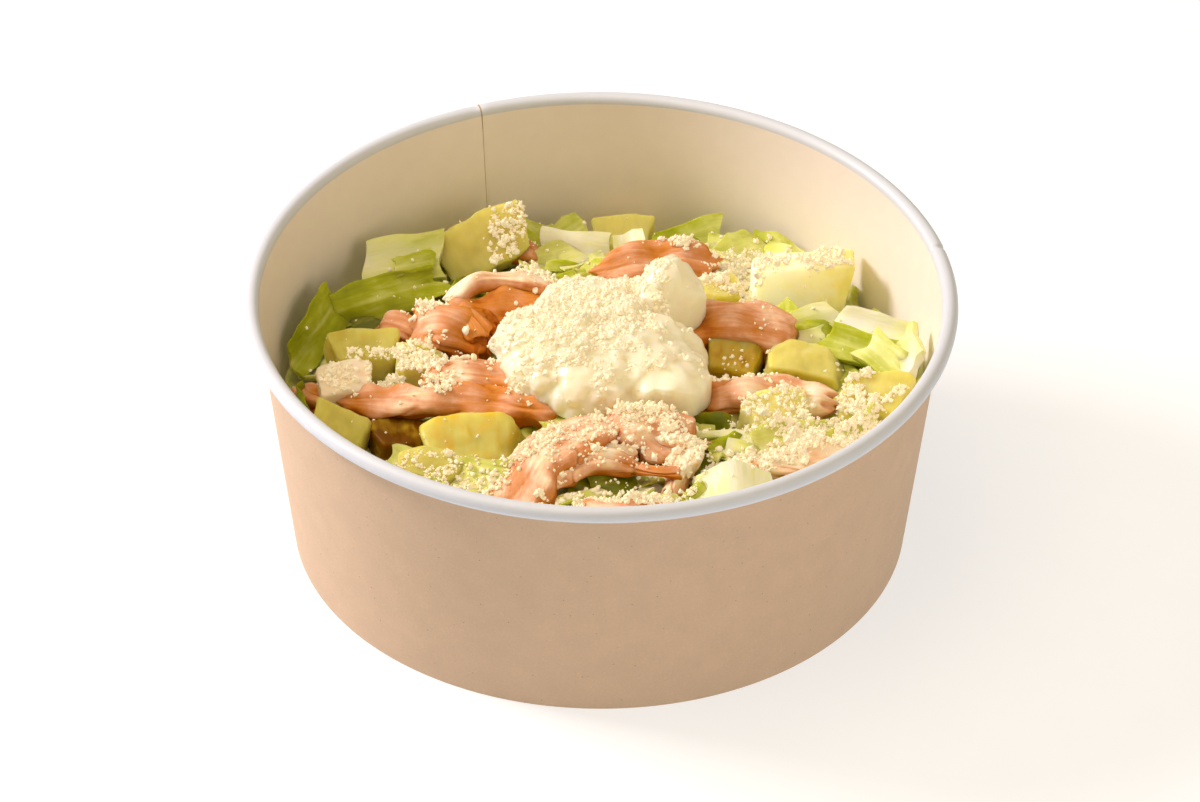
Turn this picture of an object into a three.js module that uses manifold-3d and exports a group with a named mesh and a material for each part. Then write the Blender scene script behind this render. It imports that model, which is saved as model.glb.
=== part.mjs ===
// Chicken and pineapple salad in a round paper bowl.
// Millimetres, +Z up, origin at the centre of the bowl's foot. The shown side faces -Y.
import * as THREE from 'three';
import { mergeVertices } from 'three/addons/utils/BufferGeometryUtils.js';
import Module from 'manifold-3d';

const wasm = await Module();
wasm.setup();

// Bowl sizes: a 750 ml paper salad bowl, 150 mm across its rolled rim
const RIM_RADIUS = 75;
const BOWL_HEIGHT = 59;
const FOOT_RADIUS = 65;
const BOARD = 0.5;
const CURL_RADIUS = 1.7;
const CURL_START = 180;
const CURL_END = -110;
const CURL_STEPS = 6;
const ROUND_STEPS = 52;
const FOLD_HEIGHT = 4.6;
const FOLD_WIDTH = 2.15;
const BASE_UNDERSIDE = 4.95;
const FLANGE_LOWEST = 0.85;
const SEAM_ANGLE = 111;
const SEAM_SWEEP = 12;
const SEAM_STEP = 0.4;
const SEAM_EDGE = 0.15;
const SEAM_SINK = 0.2;

const radians = THREE.MathUtils.degToRad;

// Gaps between pieces that touch, and between the food and the bowl. A corner or a flat side
// is grown by more than the gap, so that its faces keep the whole of it
const GAP = 0.35;
const WALL_GAP = 0.9;
const FLOOR_GAP = 0.4;
const CORNER_GROWTH = 1.6;
const SIDE_GROWTH = 1.15;

// Sizes worked out from those above
const CURL_CENTRE = { r: RIM_RADIUS - CURL_RADIUS, z: BOWL_HEIGHT - CURL_RADIUS };
const INNER_TOP = CURL_CENTRE.r - CURL_RADIUS;
const INNER_FOOT = FOOT_RADIUS - BOARD;
const BASE_TOP = BASE_UNDERSIDE + BOARD;
const innerRadius = (z) => INNER_FOOT + (INNER_TOP - INNER_FOOT) * z / CURL_CENTRE.z;

// The bare heap: heights of its middle and how it leans, over a reach of 70 mm
const HEAP = { middle: 36.2, lean: [1.7, -3.5], backFall: 9, reach: 70, rings: 7, spokes: 28 };
const HEAP_BUMPS = { height: 1.1, spacing: 15 };
const MOUNDS = [
  { at: [45, 27], rise: -3.2, reach: 15 },
  { at: [28, 5], rise: -2.5, reach: 10 },
  { at: [-58, 22], rise: -6, reach: 15 },
  { at: [-43, -20], rise: -3.5, reach: 10 },
  { at: [10, -40], rise: -3, reach: 9 },
  { at: [0, 4], rise: 3, reach: 18 },
  { at: [60, -6], rise: 3.5, reach: 14 },
  { at: [-26, 20], rise: 1.5, reach: 12 },
  { at: [-62, 2], rise: -4, reach: 8 },
  { at: [62, 33], rise: -7, reach: 14 },
];

// Sauce: one round dome with lobes, and a standing lump at its back right
const SAUCE = { at: [0, 3.5, 40.5], half: [24, 21.5], rise: 11.6, below: 1.5, flatness: 3.2, ripple: 0.7 };
const SAUCE_LUMP = { at: [15, 15, 46], half: [8, 7, 9.5], turn: 20 };
const SAUCE_LOBE = { at: [14, -11, 43.5], half: [10, 9, 5.5], turn: -25 };
// Bulges and a waist on the dome's outline: where round it in radians, how much, and how wide
const SAUCE_BULGES = [[-0.65, 0.12, 0.32], [0.12, -0.2, 0.22], [0.55, 0.06, 0.25]];
const SAUCE_STEPS = { dome: [20, 8], lump: [9, 6] };

// Chicken: a path along each strip, its width and thickness, and how far it is rolled over
const CHICKEN = [
  { name: 'chicken_fold_top', wide: 14.5, thick: 6, roll: 42,
    path: [[-34, 19, 39], [-23, 21.5, 40.2], [-10, 21, 40]] },
  { name: 'chicken_fold_low', wide: 12, thick: 8, roll: 25,
    path: [[-39, 13.5, 37.5], [-32.5, 12.5, 39.5], [-24, 9.5, 38]] },
  { name: 'chicken_back', wide: 10, thick: 7.5, roll: 20,
    path: [[0, 34.5, 38], [9, 36.5, 39.3], [24, 39.5, 37.3]] },
  { name: 'chicken_right', wide: 11, thick: 9, roll: 10,
    path: [[14, 13.5, 38.3], [28, 14, 39.3], [41.5, 13, 38]] },
  { name: 'chicken_inner', wide: 7.5, thick: 5.5, roll: 20,
    path: [[-37, -4, 39], [-27, -4.5, 40], [-16, -5, 40]] },
  { name: 'chicken_long', wide: 7, thick: 5, roll: 25,
    path: [[-51, -10.5, 37.5], [-39, -11.5, 39], [-25, -12.5, 39.5], [-9, -15.5, 39.5]] },
  { name: 'chicken_arch_left', wide: 12, thick: 6, roll: -10,
    path: [[-18.5, -48, 38.5], [-13.5, -38.5, 42], [-6, -28.5, 44], [3, -23.5, 44]] },
  { name: 'chicken_arch_right', wide: 11, thick: 6, roll: 15,
    path: [[3, -22.5, 43], [11, -23, 44], [20, -27, 41.5]] },
  { name: 'chicken_arch_lip', wide: 5, thick: 4, roll: 30,
    path: [[-7, -39.5, 41], [0, -34.5, 43], [8, -32.5, 41.5], [14, -36, 39]] },
  { name: 'chicken_front_right', wide: 8, thick: 5.5, roll: 25,
    path: [[20, -9.5, 39], [34, -10, 40.5], [49, -12.5, 40]] },
  { name: 'chicken_rim', wide: 7, thick: 5, roll: 20,
    path: [[33, -35.5, 41.5], [43, -37, 42.5], [54, -33.5, 43]] },
  { name: 'chicken_left_bit', wide: 6, thick: 5, roll: 0,
    path: [[-63, 0.5, 31.5], [-60.5, -3.5, 33.5], [-57, -6.5, 34]] },
  { name: 'chicken_back_bit', wide: 5.5, thick: 4.5, roll: 0,
    path: [[-21, 51.5, 33], [-17.5, 49.5, 34.5], [-14, 47.5, 34]] },
  { name: 'chicken_left_top', wide: 7, thick: 5, roll: 20,
    path: [[-47, 21, 36], [-43, 18, 38.5], [-37, 15, 38]] },
  { name: 'chicken_shred', wide: 5, thick: 4.5, roll: 0,
    path: [[14, -30, 40], [16.5, -36, 40], [14, -43, 38.5]] },
];
const STRIP_FORM = { sides: 7, steps: 6, thinning: 0.72, lumps: 0.13, lumpLength: 3.1, squareness: 0.16 };

// One piece of chicken is a cube: centre, sizes, turns in degrees and taper, as for the chunks
const CHICKEN_CUBES = [
  { name: 'chicken_cube', at: [-54, -5, 37.5], size: [11, 8.5, 7.5], turn: [10, 6, 14], taper: 0.9 },
];

// Pineapple: centre, length, width and height of each chunk, its turns in degrees and its taper
const PINEAPPLE = [
  { name: 'pineapple_back_left', at: [-25, 48.5, 35.8], size: [20.5, 12.5, 8],
    turn: [38, -17, 24], taper: 0.8 },
  { name: 'pineapple_tall', at: [42.3, 31.5, 39.4], size: [21.4, 9, 15], turn: [-10, 0, -5], taper: 0.97 },
  { name: 'pineapple_left', at: [-50, 6.5, 36.5], size: [15, 11, 11], turn: [10, 4, 8], taper: 0.85 },
  { name: 'pineapple_left_front', at: [-54, -18, 32.8], size: [14, 9, 12], turn: [16, 6, -48], taper: 0.7 },
  { name: 'pineapple_front', at: [-26, -24.5, 35.5], size: [21, 12.5, 11], turn: [24, 0, 2], taper: 0.85 },
  { name: 'pineapple_right', at: [43, 2, 37.5], size: [17.5, 10, 10], turn: [12, 0, -4], taper: 0.85 },
  { name: 'pineapple_shade', at: [28, 6, 36], size: [12, 9, 8], turn: [15, 8, -10], taper: 0.8 },
  { name: 'pineapple_rim', at: [57.5, -12.5, 39.5], size: [15, 13, 9], turn: [14, -4, -12], taper: 0.85 },
  { name: 'pineapple_back', at: [4.5, 59.5, 29.5], size: [14, 8, 7], turn: [18, -6, 8], taper: 0.8 },
  { name: 'pineapple_crumbed', at: [37, -16.5, 38.5], size: [13, 9, 8], turn: [20, -8, 25], taper: 0.8 },
  { name: 'pineapple_amber', at: [-42, -18.5, 33], size: [12, 9, 8], turn: [10, 0, 10], taper: 0.8 },
  { name: 'pineapple_small', at: [25, 31.5, 35.5], size: [10, 8, 7], turn: [10, 0, 15], taper: 0.85 },
  { name: 'pineapple_inner', at: [-38.5, 2, 37], size: [10, 8, 8], turn: [10, 0, -15], taper: 0.85 },
  { name: 'pineapple_front_left', at: [-35, -34.5, 37.5], size: [14, 8, 8], turn: [15, -4, -24], taper: 0.8 },
];
const CHUNK_FORM = { steps: 2, rounding: 0.24, roundFrom: 1.15, bow: 0.06, uneven: 0.05, spacing: 11 };

// Lettuce: centre, length, width and thickness, turns in degrees, how far it cups and waves,
// and on small pieces the number of steps along it
const LETTUCE = [
  { at: [-60.5, 17.5, 36], size: [20, 10, 1.1], turn: [52, -6, 66], cup: 1.4, wave: 0.5 },
  { at: [-51, 24.5, 33.5], size: [18, 12, 1], turn: [14, 0, 20], cup: 1.5, wave: 1.2 },
  { at: [-45.5, 29, 37], size: [26, 9, 1.1], turn: [38, -6, 22], cup: 1.2, wave: 0.9 },
  { at: [-42, 39.5, 37.8], size: [17, 12, 3], turn: [26, -6, 12], cup: 0.8, wave: 0.3 },
  { at: [-35, 46, 35.5], size: [9, 9, 1], turn: [60, 0, 30], cup: 1, wave: 1, steps: 2 },
  { at: [-5, 48, 34.5], size: [15, 10, 2.4], turn: [30, 4, -6], cup: 1, wave: 0.3 },
  { at: [19, 56, 31.6], size: [16, 9, 2], turn: [34, -8, 14], cup: 1, wave: 0.4 },
  { at: [31, 45, 34.5], size: [15, 13, 1.6], turn: [20, 0, 40], cup: 2, wave: 1.5 },
  { at: [39, 50, 32], size: [14, 9, 1.2], turn: [30, 0, -30], cup: 1.5, wave: 1.2 },
  { at: [58, 15.5, 38], size: [15, 8, 2.6], turn: [22, 4, -14], cup: 0.9, wave: 0.4 },
  { at: [54.5, 8, 39], size: [16, 8, 2.6], turn: [28, 0, -24], cup: 0.9, wave: 0.4 },
  { at: [60.5, 1.5, 41], size: [14, 8, 2.4], turn: [24, 4, -52], cup: 0.8, wave: 0.3 },
  { at: [65.5, 1, 44.5], size: [11, 7, 2], turn: [60, 0, -80], cup: 0.8, wave: 0.3 },
  { at: [47.5, 13, 37], size: [12, 7, 2.4], turn: [20, 0, 10], cup: 0.9, wave: 0.4 },
  { at: [30, -46, 43], size: [18, 13, 3.4], turn: [18, 0, 6], cup: -2.4, wave: 0.3 },
  { at: [3.5, -40, 39.8], size: [10, 8, 1], turn: [25, 0, 10], cup: 1, wave: 0.6, steps: 2 },
  { at: [21, -33, 38.5], size: [8, 6, 1], turn: [30, 0, -40], cup: 1, wave: 1, steps: 2 },
  { at: [26, -27.5, 39.5], size: [8, 6, 1], turn: [20, 0, 20], cup: 1, wave: 1, steps: 2 },
  { at: [23, -20, 39], size: [11, 8, 1], turn: [25, 0, 0], cup: 1.4, wave: 1.5, steps: 2 },
  { at: [-22, -41, 40], size: [22, 10, 1.4], turn: [20, 4, -18], cup: 2, wave: 1.2 },
  { at: [-47, -31, 37], size: [18, 10, 1.4], turn: [24, 0, -42], cup: 2, wave: 1 },
  { at: [42, -27, 40.5], size: [17, 11, 1.6], turn: [18, 0, 20], cup: 2, wave: 1.2 },
  { at: [56, -26, 42.5], size: [15, 9, 1.6], turn: [18, 0, 58], cup: 2, wave: 1 },
  { at: [4, -53, 41], size: [22, 12, 1.4], turn: [-6, 0, 4], cup: 1.5, wave: 0.9 },
  { at: [-33, -51, 39], size: [18, 10, 1.4], turn: [-8, 0, -34], cup: 2, wave: 1.2 },
  { at: [45, -46, 42], size: [16, 9, 1.4], turn: [-6, 0, 44], cup: 2, wave: 1.2 },
  { at: [-64, -6, 33], size: [14, 9, 1.2], turn: [60, 0, -84], cup: 1.5, wave: 1 },
  { at: [-20, 61, 30], size: [16, 9, 1.4], turn: [26, 0, -16], cup: 1.5, wave: 1 },
  { at: [50, 42, 32.5], size: [16, 9, 1.4], turn: [24, 0, -44], cup: 1.6, wave: 1 },
  { at: [60, 24, 34], size: [14, 8, 1.4], turn: [24, 0, -50], cup: 1.6, wave: 1 },
  { at: [-41, 34.5, 40], size: [11, 8, 0.9], turn: [40, 0, 20], cup: 1, wave: 0.8, steps: 2 },
  { at: [44, 20, 37], size: [15, 9, 2.4], turn: [24, 0, 24], cup: 0.8, wave: 0.3, steps: 2 },
];

// Smaller lettuce pieces that fill what is bare, in a spiral from the middle outwards
const FILLER = {
  count: 80, apart: 12.5, inner: 12, outer: 65, lift: 1.2, tilt: 26, seed: 11,
  long: [14, 20], wide: [10, 13], thick: 1.3, cup: 1.6, wave: 1, steps: 2,
};
const LEAF_FORM = { narrowing: 0.3, wobble: 0.14, slant: 0.08, droop: 0.5 };
const SHORTENED = [1, 0.85, 0.7, 0.55];

// Grated crumbs: the patches that they fall on, with how many large ones each holds
const CRUMB_SIZE = [2.2, 3.6];
const CRUMB_FORM = { wide: 0.72, high: 0.62, narrowing: 0.4 };
const CRUMB_SINK = 0.4;
const CRUMB_SEED = 7;
const CRUMBS = [
  { at: [0, 3], half: [20, 17], count: 14 },
  { at: [1, -27], half: [16, 9], count: 9 },
  { at: [42, -25], half: [15, 9], count: 11 },
  { at: [-47, 3], half: [11, 9], count: 9 },
  { at: [31, 43], half: [7, 8], count: 6 },
  { at: [-16, 40], half: [7, 4], count: 5 },
  { at: [-30, -37], half: [14, 5], count: 8 },
  { at: [58, -12], half: [6, 6], count: 4 },
  { at: [42, 32], half: [9, 3], count: 4 },
];

const GOLDEN_ANGLE = radians(137.508);
const FOOD_ROUGHNESS = 0.6;
const paint = (color, roughness = FOOD_ROUGHNESS) => (
  new THREE.MeshStandardMaterial({ color, roughness, metalness: 0 })
);
const MATERIALS = {
  kraft: paint('#c9a481', 0.85),
  base: paint('#efe6d6', 0.8),
  lettuce: paint('#bccb6a'),
  sauce: paint('#fbf0cf', 0.5),
  chicken: paint('#e2a584'),
  pineapple: paint('#e3d57a', 0.4),
};

// Solids: three.js meshes to joined or cut ones and back

function solidOf(geometry) {
  geometry.deleteAttribute('normal');
  geometry.deleteAttribute('uv');
  const merged = mergeVertices(geometry, 1e-5);
  return new wasm.Manifold(new wasm.Mesh({
    numProp: 3,
    vertProperties: new Float32Array(merged.attributes.position.array),
    triVerts: new Uint32Array(merged.index.array),
  }));
}

// Of a cut piece only the largest part stays
function largestPart(solid) {
  const parts = solid.decompose();
  return parts.reduce((best, part) => (part.volume() > best.volume() ? part : best));
}

function meshOf(name, solid, material, at) {
  const { vertProperties, triVerts } = solid.getMesh();
  const geometry = new THREE.BufferGeometry();
  geometry.setAttribute('position', new THREE.Float32BufferAttribute(vertProperties, 3));
  geometry.setIndex(new THREE.Uint32BufferAttribute(triVerts, 1));
  geometry.translate(-at[0], -at[1], -at[2]);
  geometry.computeVertexNormals();
  const mesh = new THREE.Mesh(geometry, material);
  mesh.name = name;
  mesh.position.fromArray(at);
  return mesh;
}

// Moves every vertex of a geometry by a rule that takes and gives a Vector3
function reshape(geometry, rule) {
  const { position } = geometry.attributes;
  const point = new THREE.Vector3();
  for (let i = 0; i < position.count; i += 1) {
    rule(point.fromBufferAttribute(position, i));
    position.setXYZ(i, point.x, point.y, point.z);
  }
  return geometry;
}

// Turns about X, then Y, then Z, in degrees, and moves to a place
function placed(geometry, turn, at) {
  const [tilt, roll, yaw] = turn.map(radians);
  const matrix = new THREE.Matrix4().makeRotationFromEuler(new THREE.Euler(tilt, roll, yaw, 'ZYX'));
  geometry.applyMatrix4(matrix.setPosition(...at));
  return geometry;
}

// A smooth uneven value from -1 to 1, different for each seed
function unevenness(point, seed, wavelength) {
  const k = 2 * Math.PI / wavelength;
  return (Math.sin(k * point.x + 1.7 * seed) + Math.sin(k * point.y * 1.3 + 2.9 * seed)
    + Math.sin(k * point.z * 1.1 + 4.3 * seed)) / 3;
}

// A repeatable row of random numbers from 0 to 1
function randomRow(seed) {
  let state = seed;
  return () => {
    state = (state * 1664525 + 1013904223) % 4294967296;
    return state / 4294967296;
  };
}

// Bowl

function lathe(profile) {
  const points = profile.map(([r, z]) => new THREE.Vector2(r, z));
  const geometry = new THREE.LatheGeometry(points, ROUND_STEPS);
  return solidOf(geometry.rotateX(Math.PI / 2));
}

// The wall board runs up from the folded foot and rolls outwards into the rim
function wallProfile() {
  const slotFloor = BOARD;
  const foldInside = FOOT_RADIUS - FOLD_WIDTH;
  const foldLean = innerRadius(FOLD_HEIGHT) - INNER_FOOT;
  const curl = (radius, from, to) => Array.from({ length: CURL_STEPS + 1 }, (_, i) => {
    const angle = radians(from + (to - from) * i / CURL_STEPS);
    return [CURL_CENTRE.r + radius * Math.cos(angle), CURL_CENTRE.z + radius * Math.sin(angle)];
  });
  const profile = [
    [foldInside, 0],
    [foldInside + foldLean, FOLD_HEIGHT],
    [foldInside + foldLean + BOARD, FOLD_HEIGHT],
    [foldInside + BOARD, slotFloor],
    [INNER_FOOT + (innerRadius(slotFloor) - INNER_FOOT), slotFloor],
    ...curl(CURL_RADIUS, CURL_START, CURL_END),
    ...curl(CURL_RADIUS - BOARD, CURL_END, CURL_START),
    [FOOT_RADIUS, 0],
  ];
  return [...profile, profile[0]].reverse();
}

// The wall's overlap: a step on the inside that fades out round the wall
function seamStrip() {
  const low = BASE_TOP + GAP;
  const high = CURL_CENTRE.z;
  const geometry = new THREE.BoxGeometry(1, 1, 1, 3, 1, 1);
  return solidOf(reshape(geometry, (point) => {
    const along = point.x + 0.5;
    const z = low + (high - low) * (point.y + 0.5);
    const proud = SEAM_EDGE + SEAM_STEP * (1 - along);
    const radius = innerRadius(z) + (point.z < 0 ? -proud : SEAM_SINK);
    const angle = radians(SEAM_ANGLE + SEAM_SWEEP * along);
    point.set(radius * Math.cos(angle), radius * Math.sin(angle), z);
  }));
}

function bowlWall() {
  return largestPart(lathe(wallProfile()).add(seamStrip()));
}

// The base disc sits above the foot, and its turned-down flange goes into the fold
function bowlBase() {
  const flangeAt = (z) => innerRadius(z) - GAP;
  return lathe([
    [0, BASE_UNDERSIDE],
    [flangeAt(BASE_UNDERSIDE) - BOARD, BASE_UNDERSIDE],
    [flangeAt(FLANGE_LOWEST) - BOARD, FLANGE_LOWEST],
    [flangeAt(FLANGE_LOWEST), FLANGE_LOWEST],
    [flangeAt(BASE_TOP), BASE_TOP],
    [0, BASE_TOP],
  ]);
}

// The space inside the bowl that food may fill
function roomInBowl() {
  const low = BASE_TOP + FLOOR_GAP;
  const high = BOWL_HEIGHT + CURL_RADIUS;
  return lathe([
    [0, low],
    [innerRadius(low) - WALL_GAP, low],
    [innerRadius(high) - WALL_GAP, high],
    [0, high],
  ]);
}

// Heap

function heapHeight(x, y) {
  const u = x / HEAP.reach;
  const v = y / HEAP.reach;
  const slope = HEAP.lean[0] * u + HEAP.lean[1] * v - HEAP.backFall * Math.max(v, 0) ** 4;
  const mounds = MOUNDS.reduce((sum, { at, rise, reach }) => {
    const away = ((x - at[0]) ** 2 + (y - at[1]) ** 2) / reach ** 2;
    return sum + rise * Math.exp(-away);
  }, 0);
  const bumps = HEAP_BUMPS.height * unevenness(new THREE.Vector3(x, y, x - y), 3, HEAP_BUMPS.spacing);
  return HEAP.middle + slope + mounds + bumps;
}

// The bare core: bowl-shaped below, with the heap's height on top
function heapCore(grow) {
  const low = BASE_TOP + FLOOR_GAP;
  const edge = (z) => innerRadius(z) - WALL_GAP;
  const profile = [[0, low], [edge(low), low]];
  for (let ring = HEAP.rings; ring >= 0; ring -= 1) {
    profile.push([ring / HEAP.rings, BOWL_HEIGHT]);
  }
  const points = profile.map(([r, z]) => new THREE.Vector2(r, z));
  const geometry = new THREE.LatheGeometry(points, HEAP.spokes).rotateX(Math.PI / 2);
  return solidOf(reshape(geometry, (point) => {
    const onFloor = point.z < HEAP.middle;
    if (onFloor) return;
    const outermost = edge(HEAP.middle);
    const x = point.x * outermost;
    const y = point.y * outermost;
    point.set(x, y, heapHeight(x, y) + grow);
  }));
}

// A lettuce piece: a thin slab whose two faces bend alike, narrower towards its ends
function leaf({ at, size, turn, cup, wave, steps = 4 }, seed) {
  const [long, wide, thick] = size;
  const { narrowing, wobble, slant, droop } = LEAF_FORM;
  const geometry = new THREE.BoxGeometry(long, wide, thick, steps, 2, 1);
  reshape(geometry, (point) => {
    const along = 2 * point.x / long;
    const across = 2 * point.y / wide;
    point.y *= 1 - narrowing * along ** 2 + wobble * Math.sin(2.6 * along + seed);
    point.x += slant * long * Math.sin(2.2 * across + 1.9 * seed);
    point.z += cup * (across ** 2 - 0.4) - droop * cup * along ** 2
      + wave * Math.sin(2.4 * along + 1.6 * across + seed);
  });
  return solidOf(placed(geometry, turn, at));
}

// Toppings. Each shape takes how far it is grown, to keep what comes later clear of it

// Chunk: a box with rounded corners, tapered like a slice of a ring, its faces a little uneven
function chunk({ at, size, turn, taper }, seed, grow) {
  const [long, wide, high] = size;
  const { steps, rounding, roundFrom, bow, uneven, spacing } = CHUNK_FORM;
  const geometry = new THREE.BoxGeometry(1, 1, 1, steps, steps, steps);
  reshape(geometry, (point) => {
    const corner = 2 * point.length();
    point.multiplyScalar(1 - rounding * Math.max(corner - roundFrom, 0));
    const narrow = taper + (1 - taper) * (point.y + 0.5);
    point.set(point.x * narrow * long, point.y * wide, point.z * high);
    point.y += bow * wide * (1 - (2.2 * point.x / long) ** 2);
    point.multiplyScalar(1 + uneven * unevenness(point, seed, spacing));
    point.setLength(point.length() + grow * CORNER_GROWTH);
  });
  return solidOf(placed(geometry, turn, at));
}

// Strip: an oval section carried along the path, thinner at its torn ends, lumpy on the way
function strip({ path, wide, thick, roll }, seed, grow) {
  const { sides, steps, thinning, lumps, lumpLength, squareness } = STRIP_FORM;
  const curve = new THREE.CatmullRomCurve3(path.map((p) => new THREE.Vector3(...p)));
  const geometry = new THREE.CylinderGeometry(1, 1, 1, sides, steps).rotateX(Math.PI / 2);
  const length = curve.getLength();
  const up = new THREE.Vector3(0, 0, 1);
  reshape(geometry, (point) => {
    const fromMiddle = 2 * point.z;
    const along = point.z + 0.5;
    const atEnd = Math.trunc(fromMiddle);
    const tangent = curve.getTangentAt(along);
    const side = new THREE.Vector3().crossVectors(up, tangent).normalize();
    const over = new THREE.Vector3().crossVectors(tangent, side);
    side.applyAxisAngle(tangent, radians(roll));
    over.applyAxisAngle(tangent, radians(roll));
    const full = Math.sqrt(1 - thinning * fromMiddle ** 4);
    const swell = 1 + lumps * Math.sin(length * along / lumpLength + 2.3 * seed);
    const squared = 1 + squareness * Math.sin(2 * Math.atan2(point.y, point.x)) ** 2;
    const across = point.x * squared * (wide * full * swell / 2 + grow * SIDE_GROWTH);
    const height = point.y * squared * (thick * full * (2 - swell) / 2 + grow * SIDE_GROWTH);
    point.copy(curve.getPointAt(along)).addScaledVector(tangent, atEnd * grow);
    point.addScaledVector(side, across).addScaledVector(over, height);
  });
  return solidOf(geometry);
}

// Ball pressed to three half sizes, for the sauce's lump and lobe
function lump({ at, half, turn }, seed, grow) {
  const geometry = new THREE.SphereGeometry(1, ...SAUCE_STEPS.lump).rotateX(Math.PI / 2);
  reshape(geometry, (point) => {
    point.multiplyScalar(1 + 0.09 * Math.sin(5 * point.x + seed) + 0.07 * Math.sin(6 * point.z + seed));
    point.set(point.x * (half[0] + grow), point.y * (half[1] + grow), point.z * (half[2] + grow));
  });
  return solidOf(placed(geometry, [0, 0, turn], at));
}

// The sauce's dome: flat-topped, with a rim of broad lobes, and flat below
function sauce(grow) {
  const { at, half, rise, below, flatness } = SAUCE;
  const geometry = new THREE.SphereGeometry(1, ...SAUCE_STEPS.dome).rotateX(Math.PI / 2);
  reshape(geometry, (point) => {
    const angle = Math.atan2(point.y, point.x);
    const bulges = SAUCE_BULGES.map(([at, much, width]) => much * Math.exp(-(((angle - at) / width) ** 2)));
    const lobes = 1 + 0.05 * Math.sin(3 * angle + 0.6) + 0.035 * Math.sin(7 * angle)
      + bulges[0] + bulges[1] + bulges[2];
    const out = Math.min(Math.hypot(point.x, point.y), 1);
    const ripple = SAUCE.ripple * Math.sin(7 * point.x + 1) * Math.sin(6 * point.y) * (1 - out ** 4);
    const inside = 1 - out ** flatness;
    const onTop = Math.sign(Math.round(point.z * 100));
    const height = onTop < 0 ? -below * inside ** (1 / flatness) : (rise + ripple) * inside ** 0.5;
    point.x *= half[0] * lobes + grow;
    point.y *= half[1] * lobes + grow;
    point.z = height + onTop * grow;
  });
  return solidOf(placed(geometry, [0, 0, 0], at))
    .add(lump(SAUCE_LUMP, 2, grow))
    .add(lump(SAUCE_LOBE, 5, grow));
}

// A crumb is a small broken block, narrower at one end
function crumb(at, size, turn) {
  const { wide, high, narrowing } = CRUMB_FORM;
  const geometry = new THREE.BoxGeometry(size, wide * size, high * size);
  reshape(geometry, (point) => {
    const narrow = 1 - narrowing * (point.x / size + 0.5);
    point.y *= narrow;
    point.z *= narrow;
  });
  return solidOf(placed(geometry, turn, at));
}

// Building: each topping is fitted to the bare core and to those before it

const room = roomInBowl();
const core = heapCore(0);
const grownCore = heapCore(GAP);

function toppings() {
  const topping = (material, shape) => (row, seed) => (
    { name: row.name, at: row.at ?? row.path[1], material, make: (grow) => shape(row, seed, grow) }
  );
  const rows = [
    { name: 'sauce', at: SAUCE.at, material: MATERIALS.sauce, make: sauce },
    ...CHICKEN.map(topping(MATERIALS.chicken, strip)),
    ...CHICKEN_CUBES.map(topping(MATERIALS.chicken, chunk)),
    ...PINEAPPLE.map(topping(MATERIALS.pineapple, chunk)),
  ];
  const grown = [];
  return rows.map((row) => {
    const cut = [grownCore, ...grown].reduce((left, other) => left.subtract(other), row.make(0));
    grown.push(row.make(GAP));
    return { ...row, solid: largestPart(cut.intersect(room)), grown: grown.at(-1) };
  });
}

// A lettuce piece is shortened until it crosses no topping, or else left out
function fittedLeaf(row, seed, covered) {
  return SHORTENED.map((share) => {
    const [long, wide, thick] = row.size;
    return leaf({ ...row, size: [long * share, wide * share, thick] }, seed).intersect(room);
  }).find((piece) => !piece.isEmpty() && piece.intersect(covered).isEmpty());
}

// Filler pieces lie on the bare core, each turned at random
function fillerRows() {
  const random = randomRow(FILLER.seed);
  const between = ([low, high]) => low + (high - low) * random();
  return Array.from({ length: FILLER.count }, (_, i) => {
    const reach = FILLER.inner + (FILLER.outer - FILLER.inner) * Math.sqrt((i + 0.5) / FILLER.count);
    const angle = i * GOLDEN_ANGLE;
    const [x, y] = [reach * Math.cos(angle), reach * Math.sin(angle)];
    return {
      at: [x, y, heapHeight(x, y) + FILLER.lift],
      size: [between(FILLER.long), between(FILLER.wide), FILLER.thick],
      turn: [FILLER.tilt * random(), 0.5 * FILLER.tilt * (random() - 0.5), 360 * random()],
      cup: FILLER.cup,
      wave: FILLER.wave,
      steps: FILLER.steps,
    };
  });
}

// The placed pieces come first, then the filler where nothing lies yet
function heap(over) {
  const covered = wasm.Manifold.union(over.map((row) => row.grown));
  const leaves = [];
  const near = (a, b) => Math.hypot(a[0] - b[0], a[1] - b[1]) < FILLER.apart;
  [...LETTUCE, ...fillerRows()].forEach((row, i) => {
    const filler = i >= LETTUCE.length;
    const taken = filler && leaves.some(({ at }) => near(at, row.at));
    const piece = taken ? null : fittedLeaf(row, i, covered);
    if (piece) leaves.push({ at: row.at, piece });
  });
  const solid = largestPart(wasm.Manifold.union([core, ...leaves.map(({ piece }) => piece)]));
  return { name: 'lettuce_heap', material: MATERIALS.lettuce, at: [0, 0, BASE_TOP], solid };
}

// Where a line straight down at x, y first meets one of the pieces
function topmost(pieces, x, y) {
  const ray = new THREE.Raycaster(new THREE.Vector3(x, y, 2 * BOWL_HEIGHT), new THREE.Vector3(0, 0, -1));
  let best = null;
  pieces.forEach((piece) => {
    const [hit] = ray.intersectObject(piece.shape, false);
    if (hit && (!best || hit.point.z > best.z)) best = { z: hit.point.z, piece };
  });
  return best;
}

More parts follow.
